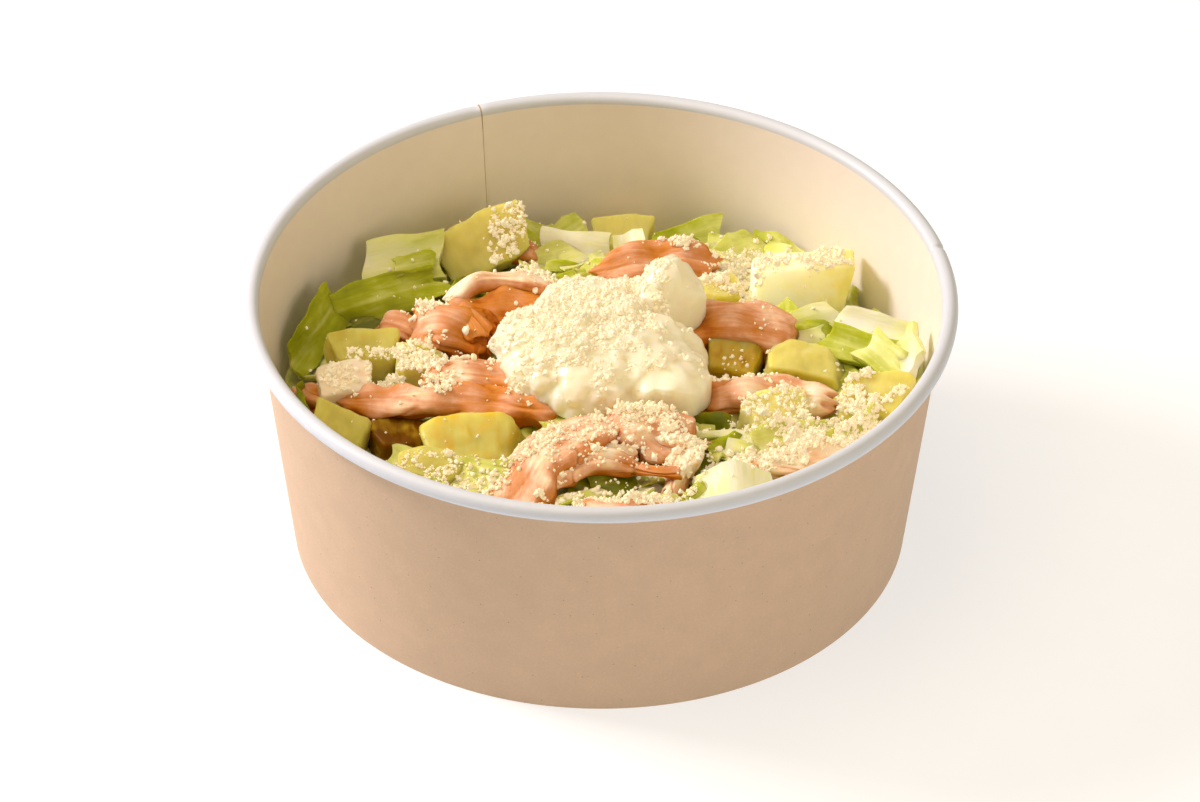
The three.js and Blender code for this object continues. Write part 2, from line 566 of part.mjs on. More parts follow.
// Crumbs are dropped on each patch and stay where they touch only the piece below them
function dropCrumbs(pieces) {
  const random = randomRow(CRUMB_SEED);
  pieces.forEach((piece) => {
    piece.shape = meshOf(piece.name, piece.solid, piece.material, [0, 0, 0]);
    piece.shape.updateMatrixWorld();
    piece.crumbs = [];
  });
  CRUMBS.forEach(({ at, half, count }) => {
    for (let i = 0; i < count; i += 1) {
      const spread = Math.sqrt((i + 0.5) / count);
      const angle = i * GOLDEN_ANGLE + random();
      const x = at[0] + half[0] * spread * Math.cos(angle);
      const y = at[1] + half[1] * spread * Math.sin(angle);
      const size = CRUMB_SIZE[1] - (CRUMB_SIZE[1] - CRUMB_SIZE[0]) * random();
      const turn = [360 * random(), 360 * random(), 360 * random()];
      const found = topmost(pieces, x, y);
      if (!found) continue;
      const centre = [x, y, found.z + size * (0.5 - CRUMB_SINK)];
      const around = crumb(centre, size + 2 * GAP, turn);
      const others = pieces.filter((piece) => piece !== found.piece);
      const inTheWay = others.flatMap((piece) => [piece.solid, ...piece.crumbs]);
      const clear = inTheWay.every((other) => other.intersect(around).isEmpty());
      if (clear) found.piece.crumbs.push(crumb(centre, size, turn));
    }
  });
  pieces.forEach((piece) => {
    const joined = wasm.Manifold.union([piece.solid, ...piece.crumbs]).intersect(room);
    piece.solid = largestPart(joined);
  });
}

const food = toppings();
food.push(heap(food));
dropCrumbs(food);

const salad = new THREE.Group();
salad.add(meshOf('bowl_wall', bowlWall(), MATERIALS.kraft, [0, 0, 0]));
salad.add(meshOf('bowl_base', bowlBase(), MATERIALS.base, [0, 0, BASE_UNDERSIDE]));
food.forEach((piece) => salad.add(meshOf(piece.name, piece.solid, piece.material, piece.at)));

export default salad;
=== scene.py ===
import math

import bpy
import numpy as np
from mathutils import Matrix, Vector
from mathutils.bvhtree import BVHTree


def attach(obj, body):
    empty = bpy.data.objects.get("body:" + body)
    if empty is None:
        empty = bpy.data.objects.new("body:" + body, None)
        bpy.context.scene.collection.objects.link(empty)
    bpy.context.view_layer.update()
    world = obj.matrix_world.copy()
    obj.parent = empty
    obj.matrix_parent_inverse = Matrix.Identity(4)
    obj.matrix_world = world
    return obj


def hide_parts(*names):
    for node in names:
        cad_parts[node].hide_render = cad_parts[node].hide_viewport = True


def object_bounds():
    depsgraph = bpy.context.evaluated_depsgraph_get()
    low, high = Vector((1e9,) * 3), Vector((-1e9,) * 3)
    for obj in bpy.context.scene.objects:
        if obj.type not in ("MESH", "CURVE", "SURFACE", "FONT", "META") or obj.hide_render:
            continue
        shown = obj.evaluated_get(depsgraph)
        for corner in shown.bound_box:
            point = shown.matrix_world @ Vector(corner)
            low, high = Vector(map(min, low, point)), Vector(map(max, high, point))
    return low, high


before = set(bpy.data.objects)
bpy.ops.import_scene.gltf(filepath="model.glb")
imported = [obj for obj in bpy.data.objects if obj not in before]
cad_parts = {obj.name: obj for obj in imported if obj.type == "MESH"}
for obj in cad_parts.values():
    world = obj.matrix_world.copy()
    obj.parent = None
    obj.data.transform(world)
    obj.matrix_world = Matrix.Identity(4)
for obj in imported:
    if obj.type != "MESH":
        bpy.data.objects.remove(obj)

bl_info = {
    "name": "Chicken Salad Bowl",
    "version": (1, 0, 0),
    "blender": (4, 5, 0),
    "location": "3D View > Sidebar > Salad",
    "description": "Paper bowl with chopped lettuce, pineapple, chicken, sauce and grated crumbs",
    "category": "Add Mesh",
}

CAD_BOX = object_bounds()
BODY = "root"
MM = 0.001

# Bowl, in millimetres, as in the solids
BOARD = 0.5
CURL_RADIUS = 1.7
CURL_START = 180
CURL_END = -110
CURL_STEPS = 22
WALL_STEPS = 14
ROUND_STEPS = 240
FOLD_HEIGHT = 4.6
FOLD_WIDTH = 2.15
BASE_UNDERSIDE = 4.95
FLANGE_LOWEST = 0.85
SEAM_ANGLE = 111
SEAM_SWEEP = 12
SEAM_STEP = 0.45
SEAM_EDGE = 0.22
RIM_STEP = 0.15
NOTCH_ANGLE = 14.4
NOTCH_WIDTH = 0.45
NOTCH_DEPTH = 0.35
NOTCH_STEPS = 9
BASE_RINGS = (20, 45)
BOARD_CREASE = 50
FIT = 0.35
WALL_GAP = 0.9
FLOOR_GAP = 0.4

# Heap, in millimetres: its middle's height, how it leans, and the mounds and dips on it
HEAP = {"middle": 36.2, "lean": (1.7, -3.5), "back_fall": 9, "reach": 70}
HEAP_BUMPS = {"height": 1.1, "spacing": 15, "seed": 3}
MOUNDS = [
    ((45, 27), -3.2, 15), ((28, 5), -2.5, 10), ((-58, 22), -6, 15), ((-43, -20), -3.5, 10),
    ((10, -40), -3, 9), ((0, 4), 3, 18), ((60, -6), 3.5, 14), ((-26, 20), 1.5, 12),
    ((-62, 2), -4, 8), ((62, 33), -7, 14),
]
# The heap's packed inside: how far it lies below the leaves, at its edge and from the wall
CORE_SINK = 1.6
CORE_EDGE_SINK = 4
CORE_GAP = 0.5
CORE_GRID = (70, 180)
# Ripples are rows of height, length and seed
CORE_RIPPLES = [(0.8, 5, 31), (0.35, 2.2, 32)]
# The core shows in the gaps between the leaves; its green there is painted shade deep in the heap, paler at
# the wall
CORE_TINT = {"middle": 0.55, "edge": -0.25, "ripples": [(0.15, 9, 33)]}
# How far out the small leaves and the crumbs go
FOOD_REACH = 66.5

# Sauce: a round dome with lobes, a standing lump at its back right and a smooth lobe in front
SAUCE = {"at": (0, 3.5, 40.5), "half": (24, 21.5), "rise": 11.6, "below": 1.5, "flatness": 3.2, "core": 4}
# Waves on its outline: how much, how many round it, and their start in radians
SAUCE_WAVES = [(0.05, 3, 0.6), (0.035, 7, 0), (0.02, 13, 1)]
# Bulges and dips on its outline: where round it in radians, how much, and how wide
SAUCE_BULGES = [(-0.82, 0.3, 0.34), (0.2, -0.33, 0.2), (0.55, 0.06, 0.25), (2.5, -0.22, 0.45)]
SAUCE_LUMP = {"at": (15, 15, 45), "half": (8.5, 7.5, 12.3), "turn": 20, "power": 1.7}
SAUCE_LOBE = {"at": (14, -11, 43.5), "half": (10, 9, 5.5), "turn": -25, "power": 2.6}
SAUCE_RIPPLES = [(0.7, 7, 41), (0.3, 3.4, 42)]
SAUCE_ROUGH = {"plain": 0.05, "crumbed": 0.34, "length": 1.9, "seed": 43}
# Where two parts of the sauce meet: how far the crease is rounded, and how soon that fades
JOIN = {"reach": 1.1, "fade": 4}
SAUCE_GRID = (150, 320)

# Chicken: width, thickness, roll in degrees, how ragged, tone at both ends from pale 0 to deep 1, and
# the strip's path. The deeper tones also paint shade on strips that lie in shadow.
CHICKEN = {
    "chicken_fold_top": (6, 4, 25, 0.7, (0.46, 0.3), [
        (-10.5, 24, 42.5), (-18, 25.5, 43.6), (-26, 25.3, 43.4), (-32, 21.5, 41)]),
    "chicken_fold_low": (12.5, 8, 25, 1.5, (0.8, 1.4), [
        (-39, 13.5, 37.5), (-32.5, 12.5, 39.5), (-24, 9.5, 38)]),
    "chicken_back": (10, 7.5, 20, 0.9, (0.9, 0.94), [
        (0, 34.5, 38), (9, 36.5, 39.3), (24, 39.5, 37.3)]),
    "chicken_right": (11.5, 10, 10, 0.45, (1.35, 0.62), [
        (14, 13.5, 38.3), (28, 14, 39.3), (41.5, 13, 38)]),
    "chicken_inner": (7.5, 5.5, 20, 0.5, (0.82, 0.82), [
        (-37, -4, 39), (-27, -4.5, 40), (-16, -5, 40)]),
    "chicken_long": (7, 5, 25, 0.8, (0.8, 1.0), [
        (-54, -8.5, 36.8), (-39, -11.5, 39), (-25, -12.5, 39.5), (-9, -15.5, 39.5)]),
    "chicken_arch_left": (13.5, 6, -10, 0.7, (0.8, 0.74), [
        (-17.5, -48, 38.5), (-13, -39, 42), (-5.5, -31, 43.5), (3, -26.5, 43)]),
    "chicken_arch_right": (12.5, 6, 15, 0.9, (0.66, 0.68), [
        (2, -26, 42.6), (10, -26, 43), (17.5, -29.5, 40.5)]),
    "chicken_arch_lip": (5, 3.4, 30, 1.0, (0.72, 0.86), [
        (-11.6, -44.7, 41.5), (-8, -40, 42.4), (-4, -38.2, 43), (1, -37.6, 43.3), (8.5, -37.8, 42)]),
    "chicken_front_right": (8, 5.5, 25, 1.3, (1.05, 0.46), [
        (20, -9.5, 39), (34, -10, 40.5), (49, -12.5, 40)]),
    "chicken_rim": (7, 5, 20, 1.0, (0.45, 0.45), [
        (33, -35.5, 41.5), (43, -37, 42.5), (54, -33.5, 43)]),
    "chicken_left_bit": (6, 5, 0, 1.0, (0.95, 0.95), [
        (-63, 0.5, 31.5), (-60.5, -3.5, 33.5), (-57, -6.5, 34)]),
    "chicken_back_bit": (5.5, 4.5, 0, 1.0, (0.8, 0.8), [
        (-21, 51.5, 33), (-17.5, 49.5, 34.5), (-14, 47.5, 34)]),
    "chicken_left_top": (6, 4.5, 20, 0.9, (0.9, 0.9), [
        (-45.5, 18.5, 36.5), (-42.5, 16.5, 38.3), (-38, 14.5, 38)]),
    "chicken_shred": (5, 4.5, 0, 1.2, (0.5, 0.6), [
        (14, -30, 40), (16.5, -36, 40), (14, -43, 38.5)]),
}
# Chicken inside the fold and the arch, a flap on the fold, and shreds by the arch: first the strip in
# the solids that each belongs to, then the same as above
CHICKEN_EXTRA = {
    "chicken_fold_inside": ("chicken_fold_top", 14, 5.5, 40, 0.6, (1.05, 1.0), [
        (-33, 17, 37.3), (-23, 17.5, 37.8), (-9, 18.5, 38)]),
    "chicken_fold_flap": ("chicken_fold_low", 5.5, 3.5, 20, 1.5, (0.95, 1.1), [
        (-30, 15, 42), (-27, 12, 42.8), (-24.5, 8.5, 41)]),
    "chicken_arch_inside": ("chicken_arch_lip", 6, 3, 30, 0.8, (0.46, 0.46), [
        (-8, -37, 42.2), (-1, -34.5, 43), (8, -34, 42.2)]),
    "chicken_shred_back": ("chicken_shred", 2.6, 2.2, 0, 1.3, (0.6, 0.4), [
        (10, -27, 42), (15.5, -30.5, 43), (21, -29, 42)]),
    "chicken_shred_front": ("chicken_shred", 2.4, 2, 0, 1.3, (0.9, 0.9), [
        (7, -37, 41.5), (12, -40, 42.5), (17.5, -39, 41.5)]),
    "chicken_shred_side": ("chicken_shred", 3.4, 2.4, 0, 1.3, (0.2, 0.2), [
        (19, -28.5, 41.5), (19.5, -33, 42), (19, -37.5, 41)]),
    "chicken_shred_rim": ("chicken_shred", 4, 3, 0, 1.3, (0.7, 0.8), [
        (-3, -52, 42.6), (5, -53, 43.2), (15, -52.5, 42.8)]),
}
STRIP_GRID = (120, 80)
STRIP_FORM = {"end": 0.9, "swell": 0.13, "swell_length": 3.1, "square": 0.2, "crack": 0.14, "torn": 1.7}
# Ripples on a strip: how far they are kept along it, their length and their seed
STRIP_RIPPLES = {
    "fibres": (0.1, 1.5, 3), "strands": (0.14, 3.6, 9), "lumps": (0.7, 6.5, 14), "cracks": (0.3, 6.5, 31),
    "torn": (0, 2.6, 20),
}
# What each adds to the relief and to the tone of a strip. In the tone, height is painted light and shade,
# paler on top and deeper below, and cracks are painted shade
STRIP_RELIEF = {"fibres": 0.06, "strands": 0.1, "lumps": 0.5, "cracks": -0.35}
STRIP_TONE_AND_PAINTED_SHADE = {"height": -0.45, "fibres": 0.04, "lumps": -0.1, "cracks": 0.15}
# The whitish cube: centre, sizes, turns, taper, and tone at its middle and how that rises with height;
# the rise is negative, painted light that makes its top paler
CUBES = {"chicken_cube": ((-54, -5, 37.5), (11, 8.5, 7.5), (10, 6, 14), 0.9, (-0.1, -0.05))}

# Pineapple: centre, sizes, turns in degrees, taper, and tone from yellow 0 to amber 1, or at both ends.
# Deep tones paint shade on chunks that lie in shadow, and the tall chunk's pale end paints its lit face.
PINEAPPLE = {
    "pineapple_back_left": ((-25, 48.5, 35.8), (20.5, 12.5, 8), (38, -17, 24), 0.8, 0.5),
    "pineapple_tall": ((42.3, 34.5, 34.9), (21.4, 9, 15), (-10, 0, 8), 0.97, (-0.16, 0.36)),
    "pineapple_left": ((-50, 6.5, 36.5), (15, 11, 11), (10, 4, 8), 0.85, 0.68),
    "pineapple_left_front": ((-54.3, -17, 33.5), (12, 9, 12), (12, 4, -14), 0.85, 0.65),
    "pineapple_front": ((-26, -24.5, 35.5), (21, 12.5, 11), (24, 0, 2), 0.85, 0.72),
    "pineapple_right": ((43, 2, 37.5), (17.5, 10, 10), (12, 0, -4), 0.85, 0.55),
    "pineapple_shade": ((28, 6, 36), (12, 9, 8), (15, 8, -10), 0.8, 0.83),
    "pineapple_rim": ((57.5, -12.5, 39.5), (15, 13, 9), (14, -4, -12), 0.85, 0.59),
    "pineapple_back": ((4.5, 59.5, 29.5), (14, 8, 7), (18, -6, 8), 0.8, 0.38),
    "pineapple_crumbed": ((37, -16.5, 38.5), (13, 9, 8), (20, -8, 25), 0.8, 0.35),
    "pineapple_amber": ((-42, -18.5, 33), (12, 9, 8), (10, 0, 10), 0.8, 1.0),
    "pineapple_small": ((25, 31.5, 35.5), (10, 8, 7), (10, 0, 15), 0.85, 0.4),
    "pineapple_inner": ((-38.5, 2, 37), (10, 8, 8), (10, 0, -15), 0.85, 0.5),
    "pineapple_front_left": ((-35, -34.5, 37.5), (14, 8, 8), (15, -4, -24), 0.8, 0.64),
}
CHUNK_GRID = (60, 96)
CHUNK_POWER = 14
CHUNK_FORM = {
    "faces": 0.49, "corners": (0.62, 0.8), "uneven": 0.1, "bow": 0.06, "skew": 0.14, "twist": 0.1,
    "seed": 200,
}
# Dents and ripples on a chunk: height and length, and for the ripples also their seed and how far they
# are kept across it
CHUNK_DENTS = (0.45, 11)
CHUNK_RIPPLES = [(0.18, 5.5, 0, 1), (0.05, 2.4, 70, 1), (0.05, 1.4, 50, 0.3)]
TOPPINGS = [name + "_food" for name in [*CHICKEN, *CHICKEN_EXTRA, *CUBES, *PINEAPPLE, "sauce"]]

# Lettuce: centre, sizes, turns in degrees, cup, wave, and tint from white rib 0 to dark green 1. The
# darkest tints paint shade on leaves in holes and in shadow.
LETTUCE = [
    ((-60.5, 17.5, 36), (20, 10, 1.1), (52, -6, 66), 1.4, 0.5, 0.62),
    ((-51, 24.5, 33.5), (18, 12, 1), (14, 0, 20), 1.5, 1.2, 1.0),
    ((-45.5, 29, 37), (26, 9, 1.1), (38, -6, 22), 1.2, 0.9, 0.64),
    ((-42, 39.5, 37.8), (17, 12, 3), (26, -6, 12), 0.8, 0.3, 0.25),
    ((-35, 46, 35.5), (9, 9, 1), (60, 0, 30), 1, 1, 0.55),
    ((-5, 48, 34.5), (15, 10, 2.4), (30, 4, -6), 1, 0.3, 0.0),
    ((19, 56, 31.6), (16, 9, 2), (34, -8, 14), 1, 0.4, 0.52),
    ((31, 45, 34.5), (15, 13, 1.6), (20, 0, 40), 2, 1.5, 0.35),
    ((39, 50, 32), (14, 9, 1.2), (30, 0, -30), 1.5, 1.2, 0.42),
    ((58, 15.5, 38), (15, 8, 2.6), (22, 4, -14), 0.9, 0.4, 0.05),
    ((54.5, 8, 39), (16, 8, 2.6), (28, 0, -24), 0.9, 0.4, 0.5),
    ((60.5, 1.5, 41), (14, 8, 2.4), (24, 4, -52), 0.8, 0.3, 0.42),
    ((65.5, 1, 44.5), (11, 7, 2), (60, 0, -80), 0.8, 0.3, 0.18),
    ((47.5, 13, 37), (12, 7, 2.4), (20, 0, 10), 0.9, 0.4, 0.32),
    ((28, -48.3, 41.6), (13, 17, 3.8), (0, -16, 94), -2.6, 0.2, 0.2),
    ((3.5, -40, 39.8), (10, 8, 1), (25, 0, 10), 1, 0.6, 1.0),
    ((21, -33, 38.5), (8, 6, 1), (30, 0, -40), 1, 1, 0.9),
    ((26, -27.5, 39.5), (8, 6, 1), (20, 0, 20), 1, 1, 0.62),
    ((23, -20, 38), (11, 8, 1), (25, 0, 0), 1.4, 1.5, 1.0),
    ((-22, -41, 40), (22, 10, 1.4), (20, 4, -18), 2, 1.2, 0.38),
    ((-41, -32.5, 37), (13, 9, 1.4), (24, 0, -42), 2, 1, 0.3),
    ((42, -27, 40.5), (17, 11, 1.6), (18, 0, 20), 2, 1.2, 0.3),
    ((56, -26, 42.5), (15, 9, 1.6), (18, 0, 58), 2, 1, 0.26),
    ((4, -53, 41), (22, 12, 1.4), (-6, 0, 4), 1.5, 0.9, 0.2),
    ((-33, -51, 39), (18, 10, 1.4), (-8, 0, -34), 2, 1.2, 0.3),
    ((45, -46, 42), (16, 9, 1.4), (-6, 0, 44), 2, 1.2, 0.3),
    ((-64, -6, 33), (14, 9, 1.2), (60, 0, -84), 1.5, 1, 0.75),
    ((-20, 61, 30), (16, 9, 1.4), (26, 0, -16), 1.5, 1, 0.4),
    ((50, 42, 30), (16, 9, 1.4), (24, 0, -44), 1.6, 1, 0.35),
    ((60, 24, 31), (14, 8, 1.4), (24, 0, -50), 1.6, 1, 0.28),
    ((-40, 36.5, 40), (9, 5, 0.8), (30, 0, 20), 0.8, 0.3, 0.5),
    ((44, 20, 35.6), (15, 9, 2.4), (24, 0, 24), 0.8, 0.3, 0.24),
]
LEAF_GRID = (26, 13)
LEAF_CREASE = 60
LEAF_FORM = {
    "narrowing": 0.16, "wobble": 0.1, "notches": 0.05, "slant": 0.08, "ragged": 0.02, "hollow": 0.4,
    "droop": 0.5, "ruffle": 0.35, "thin_edge": 0.75, "uneven": 0.25,
}
LEAF_TINT = {"rib": 0.1, "vein": 0.18, "veins": -0.08, "along": 0.14, "edge": 0.12, "white_below": 0.3}
# Small leaves between the placed ones; each share of greens is the part of the leaves with that tint.
# Leaves further to the left are darker by painted shade.
FILLER = {
    "count": 420, "inner": 6, "lift": (-0.4, 2.2), "tilt": 13, "seed": 11,
    "long": (9, 17), "wide": (6, 11), "thick": 1.2, "cup": 1.4, "wave": 0.9, "nestle": 2.5,
    "greens": (0.12, 0.24, 0.32, 0.4, 0.5, 0.62, 0.85), "painted_shade_left": 0.15,
    "shares": (0.12, 0.2, 0.22, 0.18, 0.13, 0.1, 0.05),
}
FILLER_GRID = (6, 4)
GOLDEN_ANGLE = 137.508
# How near to the wall leaves start to bend
BEND_REACH = 2

# How far apart the patterns of two pieces of a kind lie, so that no two look alike
LEAF_SHIFT = 37
STRIP_SHIFT = 23
CHUNK_SHIFT = 31

# Grated crumbs: the patches that they fall on, as centre, half sizes, turn and density
CRUMB_PATCHES = [
    ((-4, 2), (17, 16), 0, 0.6),
    ((9, 15), (5, 6), 20, 0.7),
    ((9, -23.5), (12, 3.5), -8, 0.75),
    ((-12.5, -33.5), (9, 2.2), 53, 0.55),
    ((0, -32), (18, 8), 20, 0.2),
    ((38, -20.5), (11, 6), 12, 0.65),
    ((52, -25), (11, 7), 30, 0.95),
    ((38, -32), (15, 5), 10, 0.75),
    ((-37, 1), (9, 5.5), 0, 1.0),
    ((-43.5, -1.5), (8, 4), 0, 1.0),
    ((-54, -6), (4, 4), 0, 0.55),
    ((32, 37), (8, 10), 0, 0.62),
    ((47.5, 36), (6, 4), 8, 0.95),
    ((-15, 35), (10, 5), -57, 0.95),
    ((-36, 18.5), (5, 3), 35, 0.9),
    ((-28, -39), (14, 4.5), -8, 0.45),
    ((-34, -9), (4, 4), 0, 0.8),
    ((53.5, -15), (4, 9), 0, 0.8),
    ((4, -48), (13, 4.5), 0, 0.8),
    ((-19, 50), (5, 3.5), 30, 0.7),
    ((19, -34), (6, 8), 20, 0.4),
    ((17, 43), (8, 3), 0, 0.7),
    ((30, -6.5), (8, 3), 0, 0.6),
    ((29, 3), (5, 3.5), 0, 0.14),
    ((0, 0), (66, 66), 0, 0.014),
]
# A patch breaks up at its edge, from the share of its half sizes where it ends over a width
CRUMB_EDGE = {"end": 1.15, "width": 0.35, "ripples": [(0.3, 6, 51), (0.22, 2.6, 52)]}
# The sizes of crumb: places tried, rings and sides of each ball, radius, how clustered, and seed
CRUMBS = {
    "crumbs_coarse": {
        "candidates": 7000, "rings": 3, "sides": 6, "radius": (0.5, 0.92), "cluster": 1.4, "seed": 22},
    "crumbs_fine": {
        "candidates": 32000, "rings": 2, "sides": 5, "radius": (0.33, 0.6), "cluster": 1.2, "seed": 21},
    "crumbs_dust": {
        "candidates": 56000, "rings": 1, "sides": 4, "radius": (0.2, 0.38), "cluster": 1.1, "seed": 23},
}
# Crumbs fall on faces that look up at least this much, below the ceiling, and lie higher in the sauce
CRUMB_FORM = {
    "jitter": (-0.45, 0.35), "stretch": (0.6, 1.3), "sizes": (0.75, 1, 1.15), "upward": 0.25, "ceiling": 58,
    "sunk": (0.1, 0.7), "sauce_lift": 0.6, "sauce_edge": 0.97, "tint": (1.2, 3), "sauce_tint": 0.5,
}
# The height that crumbs fall from
DROP_HEIGHT = 90

# Camera, from the photo: it looks down on the aim point along a long lens. Angles in degrees, lens and
# sensor in millimetres, the rest in metres
AIM = (0, 0, 0.0311)
ELEVATION = 37.0
ROLL = 0.35
DISTANCE = 2.0
LENS = 283.95
SENSOR = 36
FAR_CLIP = 20

# Area lights, by where they stand from the bowl and how high in degrees, and an even sky
LIGHTS = {
    "key": {"from": (-0.95, 0.3), "elevation": 34, "distance": 1.3, "size": (0.38, 0.38), "power": 17,
            "color": (1, 0.92, 0.93)},
    "top": {"from": (-0.5, -0.15), "elevation": 76, "distance": 1.5, "size": (1.2, 1.2), "power": 12,
            "color": (1, 0.82, 0.54)},
    "front": {"from": (0.8, -0.6), "elevation": 25, "distance": 1.5, "size": (1.2, 0.8), "power": 4.6,
              "color": (1, 0.84, 0.6)},
}
SKY = {"color": (1, 0.88, 0.7), "strength": 0.24}
FLOOR_REACH = 4.0

# The middle part of a noise, which most of it lies in
NOISE_LOW = 0.3
NOISE_HIGH = 0.7


# Arrays

def inner_radius(z):
    """Radius of the wall's inner face at height z: a straight line from the foot to the curl."""
    sizes = bpy.context.scene.salad_bowl
    top = sizes.rim_radius / MM - 2 * CURL_RADIUS
    foot = sizes.foot_radius / MM - BOARD
    return foot + (top - foot) * z / (sizes.height / MM - CURL_RADIUS)


def unevenness(x, y, z, seed, wavelength):
    """Mean of three sines, one along each direction, from -1 to 1."""
    k = 2 * np.pi / wavelength
    return (np.sin(k * x + 1.7 * seed) + np.sin(1.3 * k * y + 2.9 * seed)
            + np.sin(1.1 * k * z + 4.3 * seed)) / 3


def ripples(points, length, seed, count=18):
    """Sum of sines in random directions, with wavelengths near the given length, about -1 to 1."""
    random = np.random.default_rng(seed)
    directions = random.normal(size=(3, count))
    directions /= np.linalg.norm(directions, axis=0)
    rates = 2 * np.pi / (length * random.uniform(0.7, 1.5, count))
    phases = random.uniform(0, 2 * np.pi, count)
    return np.sin(points @ (directions * rates) + phases).sum(-1) / np.sqrt(count)


def rippled(points, rows):
    """Sum of the ripples in rows of height, length and seed."""
    return sum(height * ripples(points, length, seed) for height, length, seed in rows)


def turned(degrees):
    """Matrices that turn about X, then Y, then Z, for rows of three angles."""
    x, y, z = np.moveaxis(np.radians(np.asarray(degrees, float)), -1, 0)
    cx, sx, cy, sy, cz, sz = np.cos(x), np.sin(x), np.cos(y), np.sin(y), np.cos(z), np.sin(z)
    rows = [
        [cz * cy, cz * sy * sx - sz * cx, cz * sy * cx + sz * sx],
        [sz * cy, sz * sy * sx + cz * cx, sz * sy * cx - cz * sx],
        [-sy, cy * sx, cy * cx],
    ]
    return np.moveaxis(np.array(rows), (0, 1), (-2, -1))


def placed(points, degrees, at):
    """Points turned and moved to a place, for one piece or for rows of pieces."""
    return points @ np.swapaxes(turned(degrees), -1, -2) + np.asarray(at, float)[..., None, :]


def rolled(first, second, degrees):
    """Two square axes, or the two parts of an offset, turned by an angle in their own plane."""
    angle = np.radians(degrees)
    return (first * np.cos(angle) + second * np.sin(angle),
            second * np.cos(angle) - first * np.sin(angle))


def share_out(x, y, at, half, turn):
    """How far out x, y lies from a place, in shares of the half sizes of the turned oval round it."""
    along, across = rolled(x - at[0], y - at[1], turn)
    return np.hypot(along / half[0], across / half[1])


def polar(radius, angle, height):
    """Points round the axis: the radius times cosine and sine of the angle, and the height."""
    radius, angle, height = np.broadcast_arrays(radius, angle, height)
    return np.stack([radius * np.cos(angle), radius * np.sin(angle), height], -1)


def tube_faces(rings, sides):
    """Quads between neighbouring rings, with a fan of triangles to a pole at each end.
    The points are the rings in order, then the first pole, then the last one."""
    ring = np.arange(rings - 1)[:, None] * sides
    side = np.arange(sides)
    after = (side + 1) % sides
    quads = np.stack([ring + side, ring + after, ring + sides + after, ring + sides + side], -1)
    pole = rings * sides
    last = (rings - 1) * sides
    first_fan = np.stack([np.full(sides, pole), after, side], -1)
    last_fan = np.stack([np.full(sides, pole + 1), last + side, last + after], -1)
    return [quads.reshape(-1, 4), np.concatenate([first_fan, last_fan])]


def ring_faces(rings, sides):
    """Quads of a closed ring: the profile's rings in order, the last joined to the first."""
    ring = np.arange(rings)[:, None] * sides
    following = (np.arange(rings)[:, None] + 1) % rings * sides
    side = np.arange(sides)
    after = (side + 1) % sides
    return [np.stack([ring + side, ring + after, following + after, following + side], -1).reshape(-1, 4)]


def slab_faces(sections, across):
    """Quads of a slab: each section is a loop over its top and back below, with quads on both ends."""
    loop = 2 * across
    start = np.arange(sections - 1)[:, None] * loop
    point = np.arange(loop)
    after = (point + 1) % loop
    sides = np.stack([start + point, start + after, start + loop + after, start + loop + point], -1)
    top = np.arange(across - 1)
    end = np.stack([top, top + 1, loop - 2 - top, loop - 1 - top], -1)
    last = (sections - 1) * loop
    return [np.concatenate([sides.reshape(-1, 4), end[:, ::-1], last + end])]


def repeated(faces, count, size):
    """The same faces for every copy, with each copy's numbers moved on past the copies before."""
    steps = np.arange(count)[:, None, None] * size
    return [(part[None] + steps).reshape(-1, part.shape[1]) for part in faces]


def outward(points, faces):
    """The faces, turned round if the volume that they close comes out negative."""
    triangles = [part[:, [0, i, i + 1]] for part in faces for i in range(1, part.shape[1] - 1)]
    corners = np.concatenate(triangles)
    a, b, c = (points[corners[:, i]] for i in range(3))
    inside_out = np.einsum("ij,ij->", a, np.cross(b, c)) < 0
    return [part[:, ::-1] for part in faces] if inside_out else faces


def sphere_grid(rings, sides):
    """Unit directions: rings of even steps between the poles, the two poles last."""
    down = np.pi * np.arange(1, rings + 1)[:, None] / (rings + 1)
    around = 2 * np.pi * np.arange(sides) / sides
    grid = polar(np.sin(down), around, np.cos(down)).reshape(-1, 3)
    return np.concatenate([grid, [[0, 0, 1], [0, 0, -1]]])


# Pieces

def make_piece(name, points, faces, materials, slot, replaces=(), face_material=None, sharp=None, **values):
    """A mesh object from arrays in millimetres, which rides on the body and stands for the named nodes.
    Each keyword in values is an attribute with one number, or three, for each point."""
    points = np.asarray(points, float).reshape(-1, 3)
    faces = outward(points, faces)
    sizes = np.concatenate([np.full(len(part), part.shape[1]) for part in faces])
    corners = np.concatenate([part.ravel() for part in faces])
    mesh = bpy.data.meshes.new(name)
    mesh.vertices.add(len(points))
    mesh.vertices.foreach_set("co", (points * MM).ravel())
    mesh.loops.add(len(corners))
    mesh.loops.foreach_set("vertex_index", corners.astype(np.int32))
    mesh.polygons.add(len(sizes))
    mesh.polygons.foreach_set("loop_start", (np.cumsum(sizes) - sizes).astype(np.int32))
    if face_material is not None:
        mesh.polygons.foreach_set("material_index", face_material.astype(np.int32))
    mesh.update(calc_edges=True)
    mesh.shade_smooth()
    if sharp:
        mesh.set_sharp_from_angle(angle=math.radians(sharp))
    for key, array in values.items():
        array = np.asarray(array, np.float32)
        kind, field = ("FLOAT", "value") if array.size == len(points) else ("FLOAT_VECTOR", "vector")
        mesh.attributes.new(key, kind, "POINT").data.foreach_set(field, array.ravel())
    for material in materials:
        mesh.materials.append(material)
    piece = bpy.data.objects.new(name, mesh)
    bpy.context.scene.collection.objects.link(piece)
    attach(piece, BODY)
    if replaces:
        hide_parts(*replaces)
    return piece


